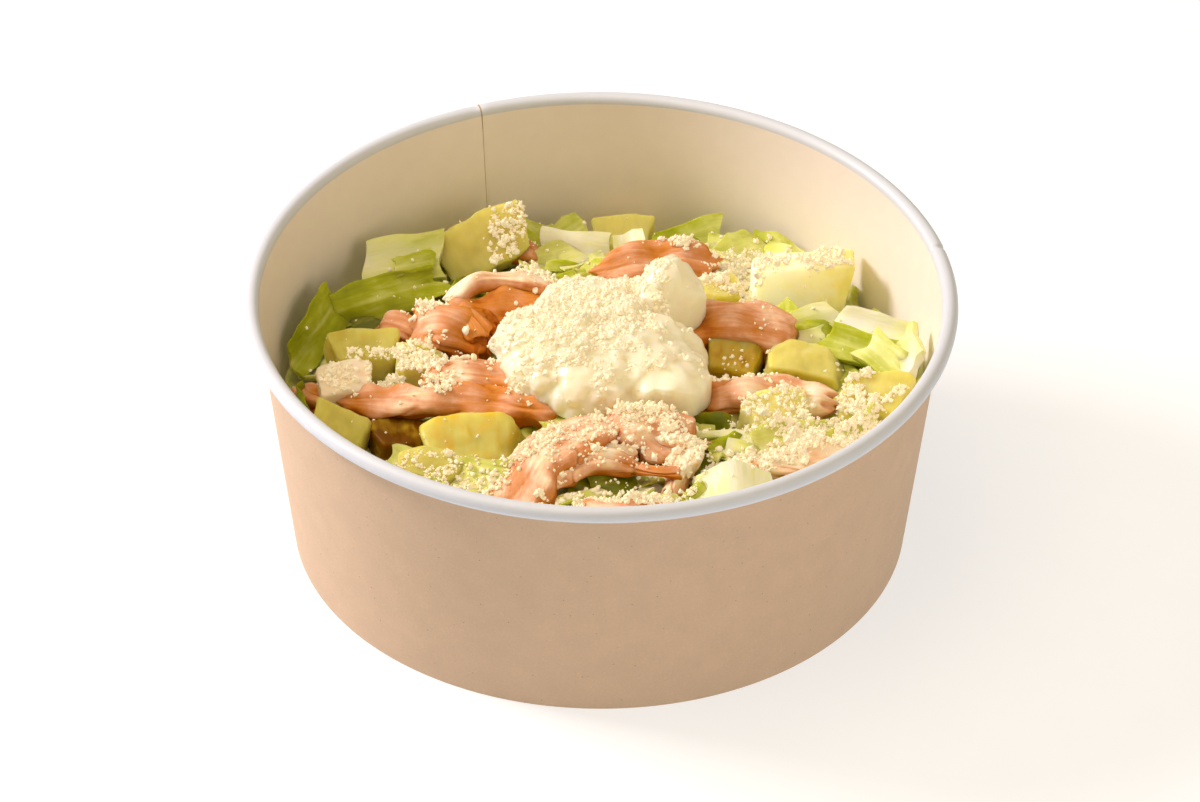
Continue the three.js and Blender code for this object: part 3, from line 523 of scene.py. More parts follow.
def mesh_arrays(pieces):
    """Points in millimetres and triangles of several pieces, as one pair of arrays."""
    points, corners, count = [], [], 0
    for piece in pieces:
        mesh = piece.data
        mesh.calc_loop_triangles()
        co = np.empty(3 * len(mesh.vertices), np.float32)
        mesh.vertices.foreach_get("co", co)
        tri = np.empty(3 * len(mesh.loop_triangles), np.int32)
        mesh.loop_triangles.foreach_get("vertices", tri)
        points.append(co.reshape(-1, 3) / MM)
        corners.append(tri.reshape(-1, 3) + count)
        count += len(mesh.vertices)
    return np.concatenate(points), np.concatenate(corners)


def ground_of(names):
    """A search tree over the named pieces, to find what lies under a point."""
    points, corners = mesh_arrays([bpy.data.objects[name] for name in names])
    return BVHTree.FromPolygons(points.tolist(), corners.tolist())


def fall(ground, places, height=DROP_HEIGHT, down=-1):
    """Where lines straight down (or up) from the places first meet the ground: points and normals,
    with nan where they miss."""
    hits = [ground.ray_cast((x, y, height), (0, 0, down)) for x, y in places]
    miss = (np.nan, np.nan, np.nan)
    points = np.array([hit[0] if hit[0] else miss for hit in hits])
    normals = np.array([hit[1] if hit[0] else miss for hit in hits])
    return points, normals


# Materials

def add(tree, kind, inputs=None, **settings):
    """A node with its settings; an input is a value, or a socket to link from."""
    node = tree.nodes.new(kind)
    for key, value in settings.items():
        setattr(node, key, value)
    for key, value in (inputs or {}).items():
        if isinstance(value, bpy.types.NodeSocket):
            tree.links.new(value, node.inputs[key])
        else:
            node.inputs[key].default_value = value
    return node


def new_material(name, **shader):
    """A material with one Principled shader: underscores in the keywords stand for spaces."""
    material = bpy.data.materials.new(name)
    material.use_nodes = True
    tree = material.node_tree
    principled = tree.nodes["Principled BSDF"]
    for key, value in shader.items():
        principled.inputs[key.replace("_", " ")].default_value = value
    return material, tree, principled


def position(tree):
    """Object coordinates, in metres."""
    return add(tree, "ShaderNodeTexCoord").outputs["Object"]


def attribute(tree, name, output="Fac"):
    """An attribute of the piece's own points, as a number, or as a vector."""
    return add(tree, "ShaderNodeAttribute", attribute_name=name).outputs[output]


def scaled(tree, vector, factors):
    """The vector with each part times its factor: a small one draws a pattern out that way."""
    return add(tree, "ShaderNodeVectorMath", {0: vector, 1: factors}, operation="MULTIPLY").outputs[0]


def noise(tree, vector, scale, detail=3.0, roughness=0.5, distortion=0.0):
    """Noise from 0 to 1, with its scale in patterns per unit of the vector."""
    return add(tree, "ShaderNodeTexNoise", {
        "Vector": vector, "Scale": scale, "Detail": detail, "Roughness": roughness,
        "Distortion": distortion}).outputs["Fac"]


def ramp(tree, value, stops):
    """Colours at places from 0 to 1."""
    node = add(tree, "ShaderNodeValToRGB", {"Fac": value})
    elements = node.color_ramp.elements
    while len(elements) < len(stops):
        elements.new(0.5)
    for element, (place, color) in zip(elements, stops):
        element.position = place
        element.color = (*color, 1)
    return node.outputs["Color"]


def levels(tree, value, to_low=0.0, to_high=1.0, low=NOISE_LOW, high=NOISE_HIGH):
    """The value's part between low and high, spread over the new range."""
    return add(tree, "ShaderNodeMapRange", {
        "Value": value, "From Min": low, "From Max": high, "To Min": to_low, "To Max": to_high,
    }).outputs["Result"]


def arithmetic(tree, operation, *values):
    """One sum, or another operation, on numbers or sockets."""
    return add(tree, "ShaderNodeMath", dict(enumerate(values)), operation=operation).outputs[0]


def varied(tree, value, pattern, swing):
    """The value plus a noise that runs from less to more by the swing."""
    return arithmetic(tree, "ADD", value, levels(tree, pattern, -swing, swing))


def shaded(color, factor):
    """A colour times a factor, at most white."""
    return tuple(min(1, factor * part) for part in color)


def mixed(tree, share, first, second):
    """Two colours mixed by a share."""
    node = add(tree, "ShaderNodeMix", data_type="RGBA")
    for index, value in ((0, share), (6, first), (7, second)):
        if isinstance(value, bpy.types.NodeSocket):
            tree.links.new(value, node.inputs[index])
        else:
            node.inputs[index].default_value = (*value, 1) if index else value
    return node.outputs[2]


def bumped(tree, shader, height, distance, strength=1.0):
    """Relief on the shader from a height pattern; the distance is in metres."""
    bump = add(tree, "ShaderNodeBump", {"Height": height, "Distance": distance, "Strength": strength})
    tree.links.new(bump.outputs["Normal"], shader.inputs["Normal"])


def kraft_material():
    """Brown paper board: soft mottling, fine pale and dark fibres, and a few dark specks."""
    kraft = bpy.context.scene.salad_colors.kraft
    material, tree, shader = new_material("kraft_paper", Roughness=0.72)
    place = position(tree)
    cloud = noise(tree, place, scale=160, detail=4)
    grain = noise(tree, place, scale=2200, detail=5, roughness=0.65)
    fibre = noise(tree, place, scale=620, detail=2, distortion=1.6)
    line = arithmetic(tree, "ABSOLUTE", arithmetic(tree, "SUBTRACT", fibre, 0.5))
    specks = add(tree, "ShaderNodeTexVoronoi", {"Vector": place, "Scale": 420.0}).outputs["Distance"]
    base = mixed(tree, levels(tree, cloud), shaded(kraft, 0.93), kraft)
    base = mixed(tree, levels(tree, grain, to_high=0.35), base, shaded(kraft, 0.72))
    fibres = levels(tree, line, to_low=0.35, to_high=0.0, low=0.0, high=0.012)
    base = mixed(tree, fibres, base, shaded(kraft, 1.3))
    dark = levels(tree, specks, to_low=0.75, to_high=0.0, low=0.03, high=0.075)
    base = mixed(tree, dark, base, (0.16, 0.09, 0.045))
    tree.links.new(base, shader.inputs["Base Color"])
    bumped(tree, shader, grain, distance=0.00006, strength=0.7)
    return material


def board_material(name, color):
    """Coated paper board: faint mottling and a satin gloss."""
    material, tree, shader = new_material(name, Roughness=0.42)
    place = position(tree)
    cloud = noise(tree, place, scale=220)
    grain = noise(tree, place, scale=1500, detail=4)
    base = mixed(tree, levels(tree, cloud, to_high=0.5), color, shaded(color, 0.95))
    tree.links.new(base, shader.inputs["Base Color"])
    tree.links.new(levels(tree, cloud, to_low=0.36, to_high=0.5), shader.inputs["Roughness"])
    bumped(tree, shader, grain, distance=0.00004, strength=0.5)
    return material


def lettuce_material(name, dark=False):
    """Lettuce: the tint attribute runs from white rib over pale and bright green to dark green, with
    veins along the leaf's own grain, and light soaks into it unless it is the dark inside."""
    look = bpy.context.scene.salad_colors
    material, tree, shader = new_material(
        name, Roughness=0.42, Subsurface_Weight=0.0 if dark else 0.45, Subsurface_Scale=0.003,
        Subsurface_Radius=(0.8, 1.0, 0.2), Specular_IOR_Level=0.2)
    grain = attribute(tree, "grain", "Vector")
    cloud = noise(tree, grain, scale=0.16)
    vein = noise(tree, scaled(tree, grain, (0.12, 1.0, 1.0)), scale=0.9, roughness=0.55, distortion=0.3)
    value = varied(tree, varied(tree, attribute(tree, "tint"), cloud, swing=0.1), vein, swing=0.07)
    greens = [(0.0, look.rib), (0.3, look.pale_green), (0.6, look.bright_green), (0.95, look.dark_green)]
    tree.links.new(ramp(tree, value, greens), shader.inputs["Base Color"])
    bumped(tree, shader, vein, distance=0.0003, strength=0.6)
    return material


def sauce_material():
    """Thick cream sauce: ivory, soft, with a satin wet gloss."""
    cream = bpy.context.scene.salad_colors.sauce
    material, tree, shader = new_material(
        "cream_sauce", Roughness=0.38, Subsurface_Weight=0.9, Subsurface_Scale=0.005,
        Subsurface_Radius=(1.0, 0.88, 0.6), Coat_Weight=0.15, Coat_Roughness=0.2)
    place = position(tree)
    cloud = levels(tree, noise(tree, place, scale=260, detail=4), low=0.35)
    tree.links.new(mixed(tree, cloud, cream, shaded(cream, 0.93)), shader.inputs["Base Color"])
    bumped(tree, shader, noise(tree, place, scale=900), distance=0.0002, strength=0.5)
    return material


def chicken_material():
    """Cooked chicken: the tone attribute runs from white over pink to deep orange, with painted light
    and shade in it, paler on top and deeper below, in streaks that follow the grain attribute along
    each strip, wet on top."""
    look = bpy.context.scene.salad_colors
    material, tree, shader = new_material(
        "chicken_meat", Roughness=0.5, Subsurface_Weight=0.4, Subsurface_Scale=0.003,
        Subsurface_Radius=(1.0, 0.45, 0.2), Specular_IOR_Level=0.15, Coat_Weight=0.03, Coat_Roughness=0.3)
    grain = attribute(tree, "grain", "Vector")
    fibre = noise(tree, scaled(tree, grain, (0.09, 1.0, 1.0)), scale=1.5, detail=4, roughness=0.6)
    blotch = noise(tree, grain, scale=0.22)
    value = varied(tree, varied(tree, attribute(tree, "tone"), fibre, swing=0.1), blotch, swing=0.22)
    colors = [(0.0, look.chicken_white), (0.12, look.chicken_cream), (0.3, look.chicken_pale),
              (0.5, look.chicken_pink), (0.75, look.chicken_orange), (1.0, look.chicken_deep)]
    tree.links.new(ramp(tree, value, colors), shader.inputs["Base Color"])
    bumped(tree, shader, fibre, distance=0.0002, strength=0.6)
    return material


def pineapple_material():
    """Pineapple in juice: the tone attribute runs from pale yellow over olive to amber, where the deeper
    tones also paint shade. Light soaks through it, the palest flesh has a painted glow from emission,
    and it has faint fibres and a wet gloss."""
    look = bpy.context.scene.salad_colors
    material, tree, shader = new_material(
        "pineapple_flesh", Roughness=0.3, Subsurface_Weight=1.0, Subsurface_Scale=0.009,
        Subsurface_Radius=(1.0, 0.85, 0.2), Specular_IOR_Level=0.15, Coat_Weight=0.05, Coat_Roughness=0.15)
    tone = attribute(tree, "tone")
    grain = attribute(tree, "grain", "Vector")
    fibre = noise(tree, scaled(tree, grain, (1.0, 0.15, 1.0)), scale=0.7)
    cloud = noise(tree, grain, scale=0.2, detail=2)
    value = varied(tree, varied(tree, tone, cloud, swing=0.08), fibre, swing=0.04)
    colors = [(0.0, look.pineapple_light), (0.35, look.pineapple), (0.7, look.pineapple_olive),
              (0.84, look.pineapple_golden), (1.0, look.pineapple_amber)]
    base = ramp(tree, value, colors)
    tree.links.new(base, shader.inputs["Base Color"])
    # The base colour glows as emission on the palest flesh: painted glow
    tree.links.new(base, shader.inputs["Emission Color"])
    painted_glow = levels(tree, tone, to_high=0.25, low=0.38, high=0.28)
    tree.links.new(painted_glow, shader.inputs["Emission Strength"])
    bumped(tree, shader, fibre, distance=0.0002, strength=0.4)
    return material


def crumb_material():
    """Grated crumbs: pale yellow, a little different from crumb to crumb, with a painted glow from
    emission that lifts the shade between them."""
    look = bpy.context.scene.salad_colors
    # Emission of the crumb colour, with the base colour darker: painted glow that lifts their shade
    material, tree, shader = new_material(
        "grated_crumb", Roughness=0.6, Emission_Color=(*look.crumb, 1), Emission_Strength=0.26)
    base = mixed(tree, attribute(tree, "tint"), shaded(look.crumb, 0.84), shaded(look.crumb_deep, 0.84))
    tree.links.new(base, shader.inputs["Base Color"])
    bumped(tree, shader, noise(tree, position(tree), scale=1800), distance=0.0002, strength=0.6)
    return material


def floor_material():
    """Plain white table that glows a little, so that shadows on it stay pale."""
    material, tree, shader = new_material(
        "white_table", Roughness=0.8, Emission_Color=(1, 1, 1, 1), Emission_Strength=0.64)
    cloud = noise(tree, position(tree), scale=90, detail=2)
    tree.links.new(mixed(tree, cloud, (0.43, 0.43, 0.43), (0.4, 0.4, 0.4)), shader.inputs["Base Color"])
    return material


# Bowl

def bowl_angles():
    """Even steps round the bowl, closer at the seam's edge and at the rim's small notch."""
    even = np.arange(ROUND_STEPS) * 360 / ROUND_STEPS
    even = even[np.abs(even - SEAM_ANGLE) > 2 * SEAM_EDGE]
    seam = SEAM_ANGLE + np.array([0, SEAM_EDGE, SEAM_SWEEP])
    notch = NOTCH_ANGLE + np.linspace(-1, 1, NOTCH_STEPS)
    return np.radians(np.unique(np.concatenate([even, seam, notch])))


def wall_profile():
    """The wall's closed section as radius, height: up the inside, over the rolled rim, back through
    the roll, down the outside and round the folded foot; and how many of its points are white."""
    sizes = bpy.context.scene.salad_bowl
    centre = np.array([sizes.rim_radius / MM - CURL_RADIUS, sizes.height / MM - CURL_RADIUS])
    angles = np.radians(np.linspace(CURL_START, CURL_END, CURL_STEPS + 1))[:, None]
    arc = np.concatenate([np.cos(angles), np.sin(angles)], 1)
    z_inner = np.linspace(BOARD, centre[1], WALL_STEPS, endpoint=False)
    inner = np.stack([inner_radius(z_inner), z_inner], 1)
    z_outer = np.linspace(centre[1], 0, WALL_STEPS + 1)[1:]
    outer = np.stack([inner_radius(z_outer) + BOARD, z_outer], 1)
    fold = sizes.foot_radius / MM - FOLD_WIDTH
    fold_top = fold + inner_radius(FOLD_HEIGHT) - inner_radius(0)
    foot = [[fold, 0], [fold_top, FOLD_HEIGHT], [fold_top + BOARD, FOLD_HEIGHT], [fold + BOARD, BOARD]]
    white = np.concatenate([inner, centre + CURL_RADIUS * arc])
    brown = np.concatenate([centre + (CURL_RADIUS - BOARD) * arc[::-1], outer, foot])
    return np.concatenate([white, brown]), len(white)


def bowl_wall(kraft, board, rim, edge):
    """Radius and height from the profile, turned round the axis. The inner face and the rim step in by
    the paper's overlap just past the seam and fade back; the rim has one shallow notch."""
    profile, white = wall_profile()
    angles = bowl_angles()
    past = (np.degrees(angles) - SEAM_ANGLE) / SEAM_SWEEP
    overlap = np.where((past > 0.5 * SEAM_EDGE / SEAM_SWEEP) & (past < 1), 1 - past, 0)
    dent = NOTCH_DEPTH * np.exp(-((np.degrees(angles) - NOTCH_ANGLE) / NOTCH_WIDTH) ** 2)
    radius, height = profile[:, :1], profile[:, 1:]
    index = np.arange(len(profile))[:, None]
    on_wall = (index < WALL_STEPS) & (height > BASE_UNDERSIDE + BOARD)
    on_rim = (index >= WALL_STEPS) & (index < white)
    centre = profile[WALL_STEPS:white].mean(0)
    rise = height - on_rim * (height > centre[1]) * (RIM_STEP * overlap + dent)
    reach = radius - on_wall * SEAM_STEP * overlap - on_rim * (radius > centre[0]) * dent
    ring = np.arange(len(profile))
    face_material = np.repeat(np.select([ring < WALL_STEPS, ring < white], [1, 2], 0), len(angles))
    at_seam = np.argmin(np.abs(angles - math.radians(SEAM_ANGLE)))
    face_material[np.arange(white) * len(angles) + at_seam] = 3
    return make_piece("bowl_wall_paper", polar(reach, angles, rise), ring_faces(len(profile), len(angles)),
                      [kraft, board, rim, edge], "bowl", ["bowl_wall"], face_material=face_material,
                      sharp=BOARD_CREASE)


def base_radius(z):
    """Radius of the base at height z: it fits inside the wall."""
    return inner_radius(z) - FIT


def bowl_base(kraft, board):
    """The base disc with its turned-down flange: rings at the profile's radii and heights, closed by
    a pole at the middle of each face. The upper face is white."""
    top = BASE_UNDERSIDE + BOARD
    flange = base_radius(FLANGE_LOWEST)
    upper = [(radius, top) for radius in BASE_RINGS]
    side = [(base_radius(top), top), (flange, FLANGE_LOWEST), (flange - BOARD, FLANGE_LOWEST),
            (base_radius(BASE_UNDERSIDE) - BOARD, BASE_UNDERSIDE)]
    lower = [(radius, BASE_UNDERSIDE) for radius in reversed(BASE_RINGS)]
    profile = np.array(upper + side + lower)
    angles = 2 * np.pi * np.arange(ROUND_STEPS) / ROUND_STEPS
    rings = polar(profile[:, :1], angles, profile[:, 1:])
    points = np.concatenate([rings.reshape(-1, 3), [[0, 0, top], [0, 0, BASE_UNDERSIDE]]])
    white = np.concatenate([np.repeat(np.arange(len(profile) - 1) < len(BASE_RINGS), ROUND_STEPS),
                            np.repeat([True, False], ROUND_STEPS)])
    return make_piece("bowl_base_paper", points, tube_faces(len(profile), ROUND_STEPS), [kraft, board],
                      "bowl", ["bowl_base"], face_material=white.astype(int), sharp=BOARD_CREASE)


# Lettuce

def heap_height(x, y):
    """The heap's height: a plane that leans, a fall towards the back, bell-shaped mounds and dips,
    and an even scatter of bumps."""
    u, v = x / HEAP["reach"], y / HEAP["reach"]
    slope = HEAP["lean"][0] * u + HEAP["lean"][1] * v - HEAP["back_fall"] * np.maximum(v, 0) ** 4
    mounds = sum(rise * np.exp(-((x - at[0]) ** 2 + (y - at[1]) ** 2) / reach ** 2)
                 for at, rise, reach in MOUNDS)
    bumps = HEAP_BUMPS["height"] * unevenness(x, y, x - y, HEAP_BUMPS["seed"], HEAP_BUMPS["spacing"])
    return HEAP["middle"] + slope + mounds + bumps


def heap_core(material):
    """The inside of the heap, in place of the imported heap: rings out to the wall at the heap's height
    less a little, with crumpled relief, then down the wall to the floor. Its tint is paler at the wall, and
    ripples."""
    rings, sides = CORE_GRID
    floor = BASE_UNDERSIDE + BOARD + FLOOR_GAP
    share = np.arange(1, rings + 1)[:, None] / rings
    angles = 2 * np.pi * np.arange(sides) / sides
    wall = inner_radius(HEAP["middle"])
    edge_height = heap_height(wall * np.cos(angles), wall * np.sin(angles)) - CORE_EDGE_SINK
    edge = inner_radius(edge_height) - CORE_GAP
    top = polar(share * edge, angles, 0.0)
    top[..., 2] = heap_height(top[..., 0], top[..., 1]) - CORE_SINK
    top[..., 2] += rippled(top, CORE_RIPPLES)
    low = polar(inner_radius(floor) - WALL_GAP, angles, floor)
    middle = [[0, 0, heap_height(0.0, 0.0) - CORE_SINK], [0, 0, floor]]
    points = np.concatenate([top.reshape(-1, 3), low, middle])
    out = np.hypot(points[:, 0], points[:, 1]) / edge.max()
    # The core's green in the gaps stands for shade deep in the heap: painted shade
    tint = CORE_TINT["middle"] + CORE_TINT["edge"] * out ** 8 + rippled(points, CORE_TINT["ripples"])
    return make_piece("lettuce_core", points, tube_faces(rings + 1, sides), [material], "lettuce",
                      ["lettuce_heap"], tint=np.clip(tint, 0, 1), grain=points)


def leaf_points(rows, grid):
    """Thin wavy slabs. Along s and across t, both from -1 to 1: x is half the length times s plus a
    slant; y is half the width times t, narrower towards the ends and wobbling; z cups with t squared,
    droops with s squared, waves, and ruffles at the edges. The two faces lie half a thickness to each
    side, thinner at the edges; thick leaves are stiffer and smoother than limp ones."""
    at, size, turn, cup, wave, tint, seed = (np.array(column, float) for column in zip(*rows))
    sections, across = grid
    s = np.linspace(-1, 1, sections)[:, None] * np.ones(2 * across)
    there = np.linspace(-1, 1, across)
    t = np.concatenate([there, there[::-1]]) * np.ones((sections, 1))
    face = np.concatenate([np.ones(across), -np.ones(across)])
    long, wide, thick = (size[:, i, None, None] for i in range(3))
    cup, wave, tint, seed = (column[:, None, None] for column in (cup, wave, tint, seed))
    form = LEAF_FORM
    limp = np.clip(2 - thick, 0.1, 1)
    x = long / 2 * s + form["slant"] * long * np.sin(2.2 * t + 1.9 * seed)
    x = x + form["ragged"] * limp * long * np.sin(8 * t + 2 * seed) * np.abs(s) ** 3
    y = wide / 2 * t * (1 - form["narrowing"] * limp * s ** 2 + form["wobble"] * np.sin(2.6 * s + seed)
                        + form["notches"] * limp * np.sin(9 * s + 3 * seed))
    z = (cup * (t ** 2 - form["hollow"]) - form["droop"] * cup * s ** 2
         + wave * np.sin(2.4 * s + 1.6 * t + seed)
         + form["ruffle"] * wave * np.abs(t) ** 3 * np.sin(7 * s + 5 * seed))
    half_thick = thick / 2 * (1 - form["thin_edge"] * limp * np.abs(t) ** 4)
    z = z + face * half_thick * (1 + form["uneven"] * np.sin(5 * t + seed))
    local = np.stack([x, y, z], -1).reshape(len(rows), -1, 3)
    grain = local + np.stack([0 * seed, 0 * seed, LEAF_SHIFT * seed], -1).reshape(-1, 1, 3)
    tones = LEAF_TINT
    rib = np.exp(-(t / tones["rib"]) ** 2)
    side_veins = np.exp(-(np.sin(4.5 * (s - 0.8 * np.abs(t))) / tones["vein"]) ** 2)
    shade = (tint + tones["along"] * s * np.sin(3 * seed) + tones["edge"] * (np.abs(t) - 0.5)
             + tones["veins"] * (rib + 0.6 * side_veins) * (tint > tones["white_below"]))
    return placed(local, turn, at), grain, np.clip(shade, 0, 1).reshape(len(rows), -1)


def pressed_to_wall(points):
    """Points that come near the wall, or pass it, are drawn in: the way left to the wall shrinks as an
    exponential of how far they would go on."""
    reach = np.hypot(points[..., 0], points[..., 1])
    limit = inner_radius(points[..., 2]) - WALL_GAP
    beyond = np.clip(reach - (limit - BEND_REACH), 0, None)
    drawn = np.where(beyond > 0, limit - BEND_REACH * np.exp(-beyond / BEND_REACH), reach)
    scale = drawn / reach
    return points * np.stack([scale, scale, np.ones_like(scale)], -1)


def leaf_piece(name, rows, grid, material):
    """All leaves of the rows as one piece, none of them through the wall."""
    points, grain, shade = leaf_points(rows, grid)
    count, size = points.shape[:2]
    return make_piece(name, pressed_to_wall(points), repeated(slab_faces(*grid), count, size), [material],
                      "lettuce", ["lettuce_heap"], sharp=LEAF_CREASE, grain=grain, tint=shade)


def filler_rows():
    """Small leaves in a spiral over the heap, turned at random. Those that would stick into the
    toppings by more than they nestle are left out."""
    random = np.random.default_rng(FILLER["seed"])
    count = FILLER["count"]
    share = (np.arange(count) + 0.5) / count
    reach = FILLER["inner"] + (FOOD_REACH - FILLER["inner"]) * np.sqrt(share)
    angle = np.arange(count) * np.radians(GOLDEN_ANGLE)
    x, y = reach * np.cos(angle), reach * np.sin(angle)
    z = heap_height(x, y) + random.uniform(*FILLER["lift"], count)
    long, wide = random.uniform(*FILLER["long"], count), random.uniform(*FILLER["wide"], count)
    size = np.stack([long, wide, np.full(count, FILLER["thick"])], -1)
    tilts = random.normal(0, FILLER["tilt"], (2, count))
    turn = np.stack([*tilts, random.uniform(0, 360, count)], -1)
    greens = random.choice(FILLER["greens"], count, p=FILLER["shares"])
    # Darker towards the left: painted shade
    shade = greens + FILLER["painted_shade_left"] * np.clip(-x / HEAP["reach"], 0, 1)
    seed = random.uniform(0, 40, count)
    rows = list(zip(np.stack([x, y, z], -1), size, turn, np.full(count, FILLER["cup"]),
                    np.full(count, FILLER["wave"]), shade, seed))
    points = leaf_points(rows, FILLER_GRID)[0]
    flat = points.reshape(-1, 3)
    under, _ = fall(ground_of(TOPPINGS), flat[:, :2], height=0, down=1)
    sunk = np.where(np.isnan(under[:, 2]), -np.inf, flat[:, 2] - under[:, 2]).reshape(points.shape[:2])
    edge = inner_radius(points[..., 2]) - WALL_GAP - np.hypot(points[..., 0], points[..., 1])
    fits = (sunk.max(1) < FILLER["nestle"]) & (edge.min(1) > 0)
    return [row for row, fit in zip(rows, fits) if fit]


# Toppings

def chunk_points(size, taper, seed):
    """An uneven block of six sides, a little out of square, and three cut corners. Each direction is
    divided by a high-power norm of its shares towards the planes; a share is its part along the plane's
    normal over the plane's distance. Then it is tapered across, bowed along, skewed and roughened."""
    form = CHUNK_FORM
    directions = sphere_grid(*CHUNK_GRID)
    random = np.random.default_rng(form["seed"] + seed)
    normals = np.concatenate([np.eye(3), -np.eye(3)]) + random.normal(0, form["uneven"], (6, 3))
    normals = np.concatenate([normals, random.choice([-1, 1], (3, 3))])
    normals /= np.linalg.norm(normals, axis=1, keepdims=True)
    distances = np.concatenate([np.full(6, form["faces"]), random.uniform(*form["corners"], 3)])
    shares = np.clip(directions @ normals.T / distances, 0, None)
    box = directions / (shares ** CHUNK_POWER).sum(-1, keepdims=True) ** (1 / CHUNK_POWER)
    long, wide, high = size
    x = box[:, 0] * long * (taper + (1 - taper) * (box[:, 1] + 0.5))
    y = box[:, 1] * wide + form["bow"] * wide * (1 - (2.2 * x / long) ** 2)
    z = box[:, 2] * high
    skewed = x + form["skew"] * np.sin(2.1 * seed + 1) * z
    z = z + form["twist"] * np.sin(3.7 * seed) * x * high / long
    points = np.stack([skewed, y, z], -1)
    rough = CHUNK_DENTS[0] * unevenness(*points.T, seed, CHUNK_DENTS[1])
    for height, length, start, kept in CHUNK_RIPPLES:
        rough = rough + height * ripples(points * (1, kept, 1), length, seed + start)
    return points * (1 + rough[:, None] / np.linalg.norm(points, axis=1, keepdims=True))


def strip_points(wide, thick, roll, ragged, tone, path, seed):
    """A strip: an oval carried along a smooth curve through the path's points, thinner at its ends.
    Its radius swells and dips along it, and ridges run along it as fibres; the ends are torn. Each
    pattern is a ripple drawn out along the strip, and a crack lies where its ripple crosses zero.
    Its tone has painted light and shade: paler on top, deeper below and in the cracks."""
    form, relief, tones = STRIP_FORM, STRIP_RELIEF, STRIP_TONE_AND_PAINTED_SHADE
    rings, sides = STRIP_GRID
    share = (np.arange(rings) + 0.5) / rings
    centre, tangent = curve_through(np.array(path, float), np.concatenate([share, [0, 1]]))
    length = np.linalg.norm(np.diff(centre[:rings], axis=0), axis=1).sum()
    side = np.cross([0, 0, 1], tangent)
    side /= np.linalg.norm(side, axis=1, keepdims=True)
    side, over = rolled(side, np.cross(tangent, side), roll)
    share = share[:, None]
    around = 2 * np.pi * np.arange(sides) / sides
    middle = 2 * share - 1
    full = (1 - np.abs(middle) ** 8 * form["end"]) ** 0.5
    swell = form["swell"] * np.sin(length * share / form["swell_length"] + 2.3 * seed)
    squared = 1 + form["square"] * np.sin(2 * around) ** 2
    along = length * share * np.ones(sides)
    across = wide / 2 * full * (1 + swell) * squared * np.cos(around)
    height = thick / 2 * full * (1 - swell) * squared * np.sin(around)
    local = np.stack([along, across, height], -1)
    fibres, strands, lumps, cracks, torn = (
        ripples(local * (kept, 1, 1), size, seed + start) for kept, size, start in STRIP_RIPPLES.values())
    cracks = np.exp(-(cracks / form["crack"]) ** 2)
    torn = form["torn"] * np.sign(middle) * np.abs(middle) ** 12 * torn
    rough = (relief["fibres"] * fibres + relief["strands"] * strands + relief["lumps"] * lumps
             + relief["cracks"] * cracks)
    grown = 1 + ragged * rough / (0.5 * thick) * full
    rings_at = (centre[:rings, None] + tangent[:rings, None] * (ragged * torn)[..., None]
                + side[:rings, None] * (across * grown)[..., None]
                + over[:rings, None] * (height * grown)[..., None])
    points = np.concatenate([rings_at.reshape(-1, 3), centre[rings:]])
    ends = [[0, 0, 0], [length, 0, 0]]
    grain = np.concatenate([local.reshape(-1, 3), ends]) + (0, 0, STRIP_SHIFT * seed)
    # Height and cracks add painted light and shade to the tone
    shade = (tone[0] + (tone[1] - tone[0]) * share + tones["height"] * height / (thick / 2)
             + tones["fibres"] * fibres + tones["lumps"] * lumps + tones["cracks"] * cracks)
    return points, grain, np.clip(np.concatenate([shade.ravel(), tone]), 0, 1.1)


def curve_through(path, share):
    """Points and unit tangents of a Catmull-Rom curve through the path, at even shares of its length."""
    ends = np.concatenate([[2 * path[0] - path[1]], path, [2 * path[-1] - path[-2]]])
    fine = np.linspace(0, len(path) - 1, 400)
    span = np.minimum(fine.astype(int), len(path) - 2)
    t = (fine - span)[:, None]
    a, b, c, d = (ends[span + i] for i in range(4))
    line = 0.5 * (2 * b + (c - a) * t + (2 * a - 5 * b + 4 * c - d) * t ** 2
                  + (3 * b - a - 3 * c + d) * t ** 3)
    steps = np.concatenate([[0], np.cumsum(np.linalg.norm(np.diff(line, axis=0), axis=1))])
    slopes = np.gradient(line, steps, axis=0)
    lengths = share * steps[-1]
    points, tangents = (np.stack([np.interp(lengths, steps, values[:, i]) for i in range(3)], -1)
                        for values in (line, slopes))
    return points, tangents / np.linalg.norm(tangents, axis=1, keepdims=True)


def ball_height(x, y, ball):
    """Height of the upper half of a ball pressed to three half sizes, or far below outside it."""
    out = share_out(x, y, ball["at"], ball["half"], ball["turn"])
    dome = np.sqrt(np.clip(1 - out ** ball["power"], 0, 1)) - 3 * np.clip(out - 1, 0, None)
    return ball["at"][2] + ball["half"][2] * dome


def soft_max(first, second):
    """The larger of two heights, rounded where they cross."""
    apart = np.abs(first - second)
    rounding = JOIN["reach"] * np.log1p(np.exp(-apart / JOIN["reach"]))
    return np.maximum(first, second) + rounding * np.exp(-apart / JOIN["fade"])


def sauce_outline(angle):
    """Reach of the sauce's outline as a share of its half sizes: one, with waves round it, and a bell
    shape for each bulge or dip over the shorter way round to it."""
    waves = sum(much * np.sin(number * angle + start) for much, number, start in SAUCE_WAVES)
    return 1 + waves + sum(much * np.exp(-(((angle - at + np.pi) % (2 * np.pi) - np.pi) / wide) ** 2)
                           for at, much, wide in SAUCE_BULGES)


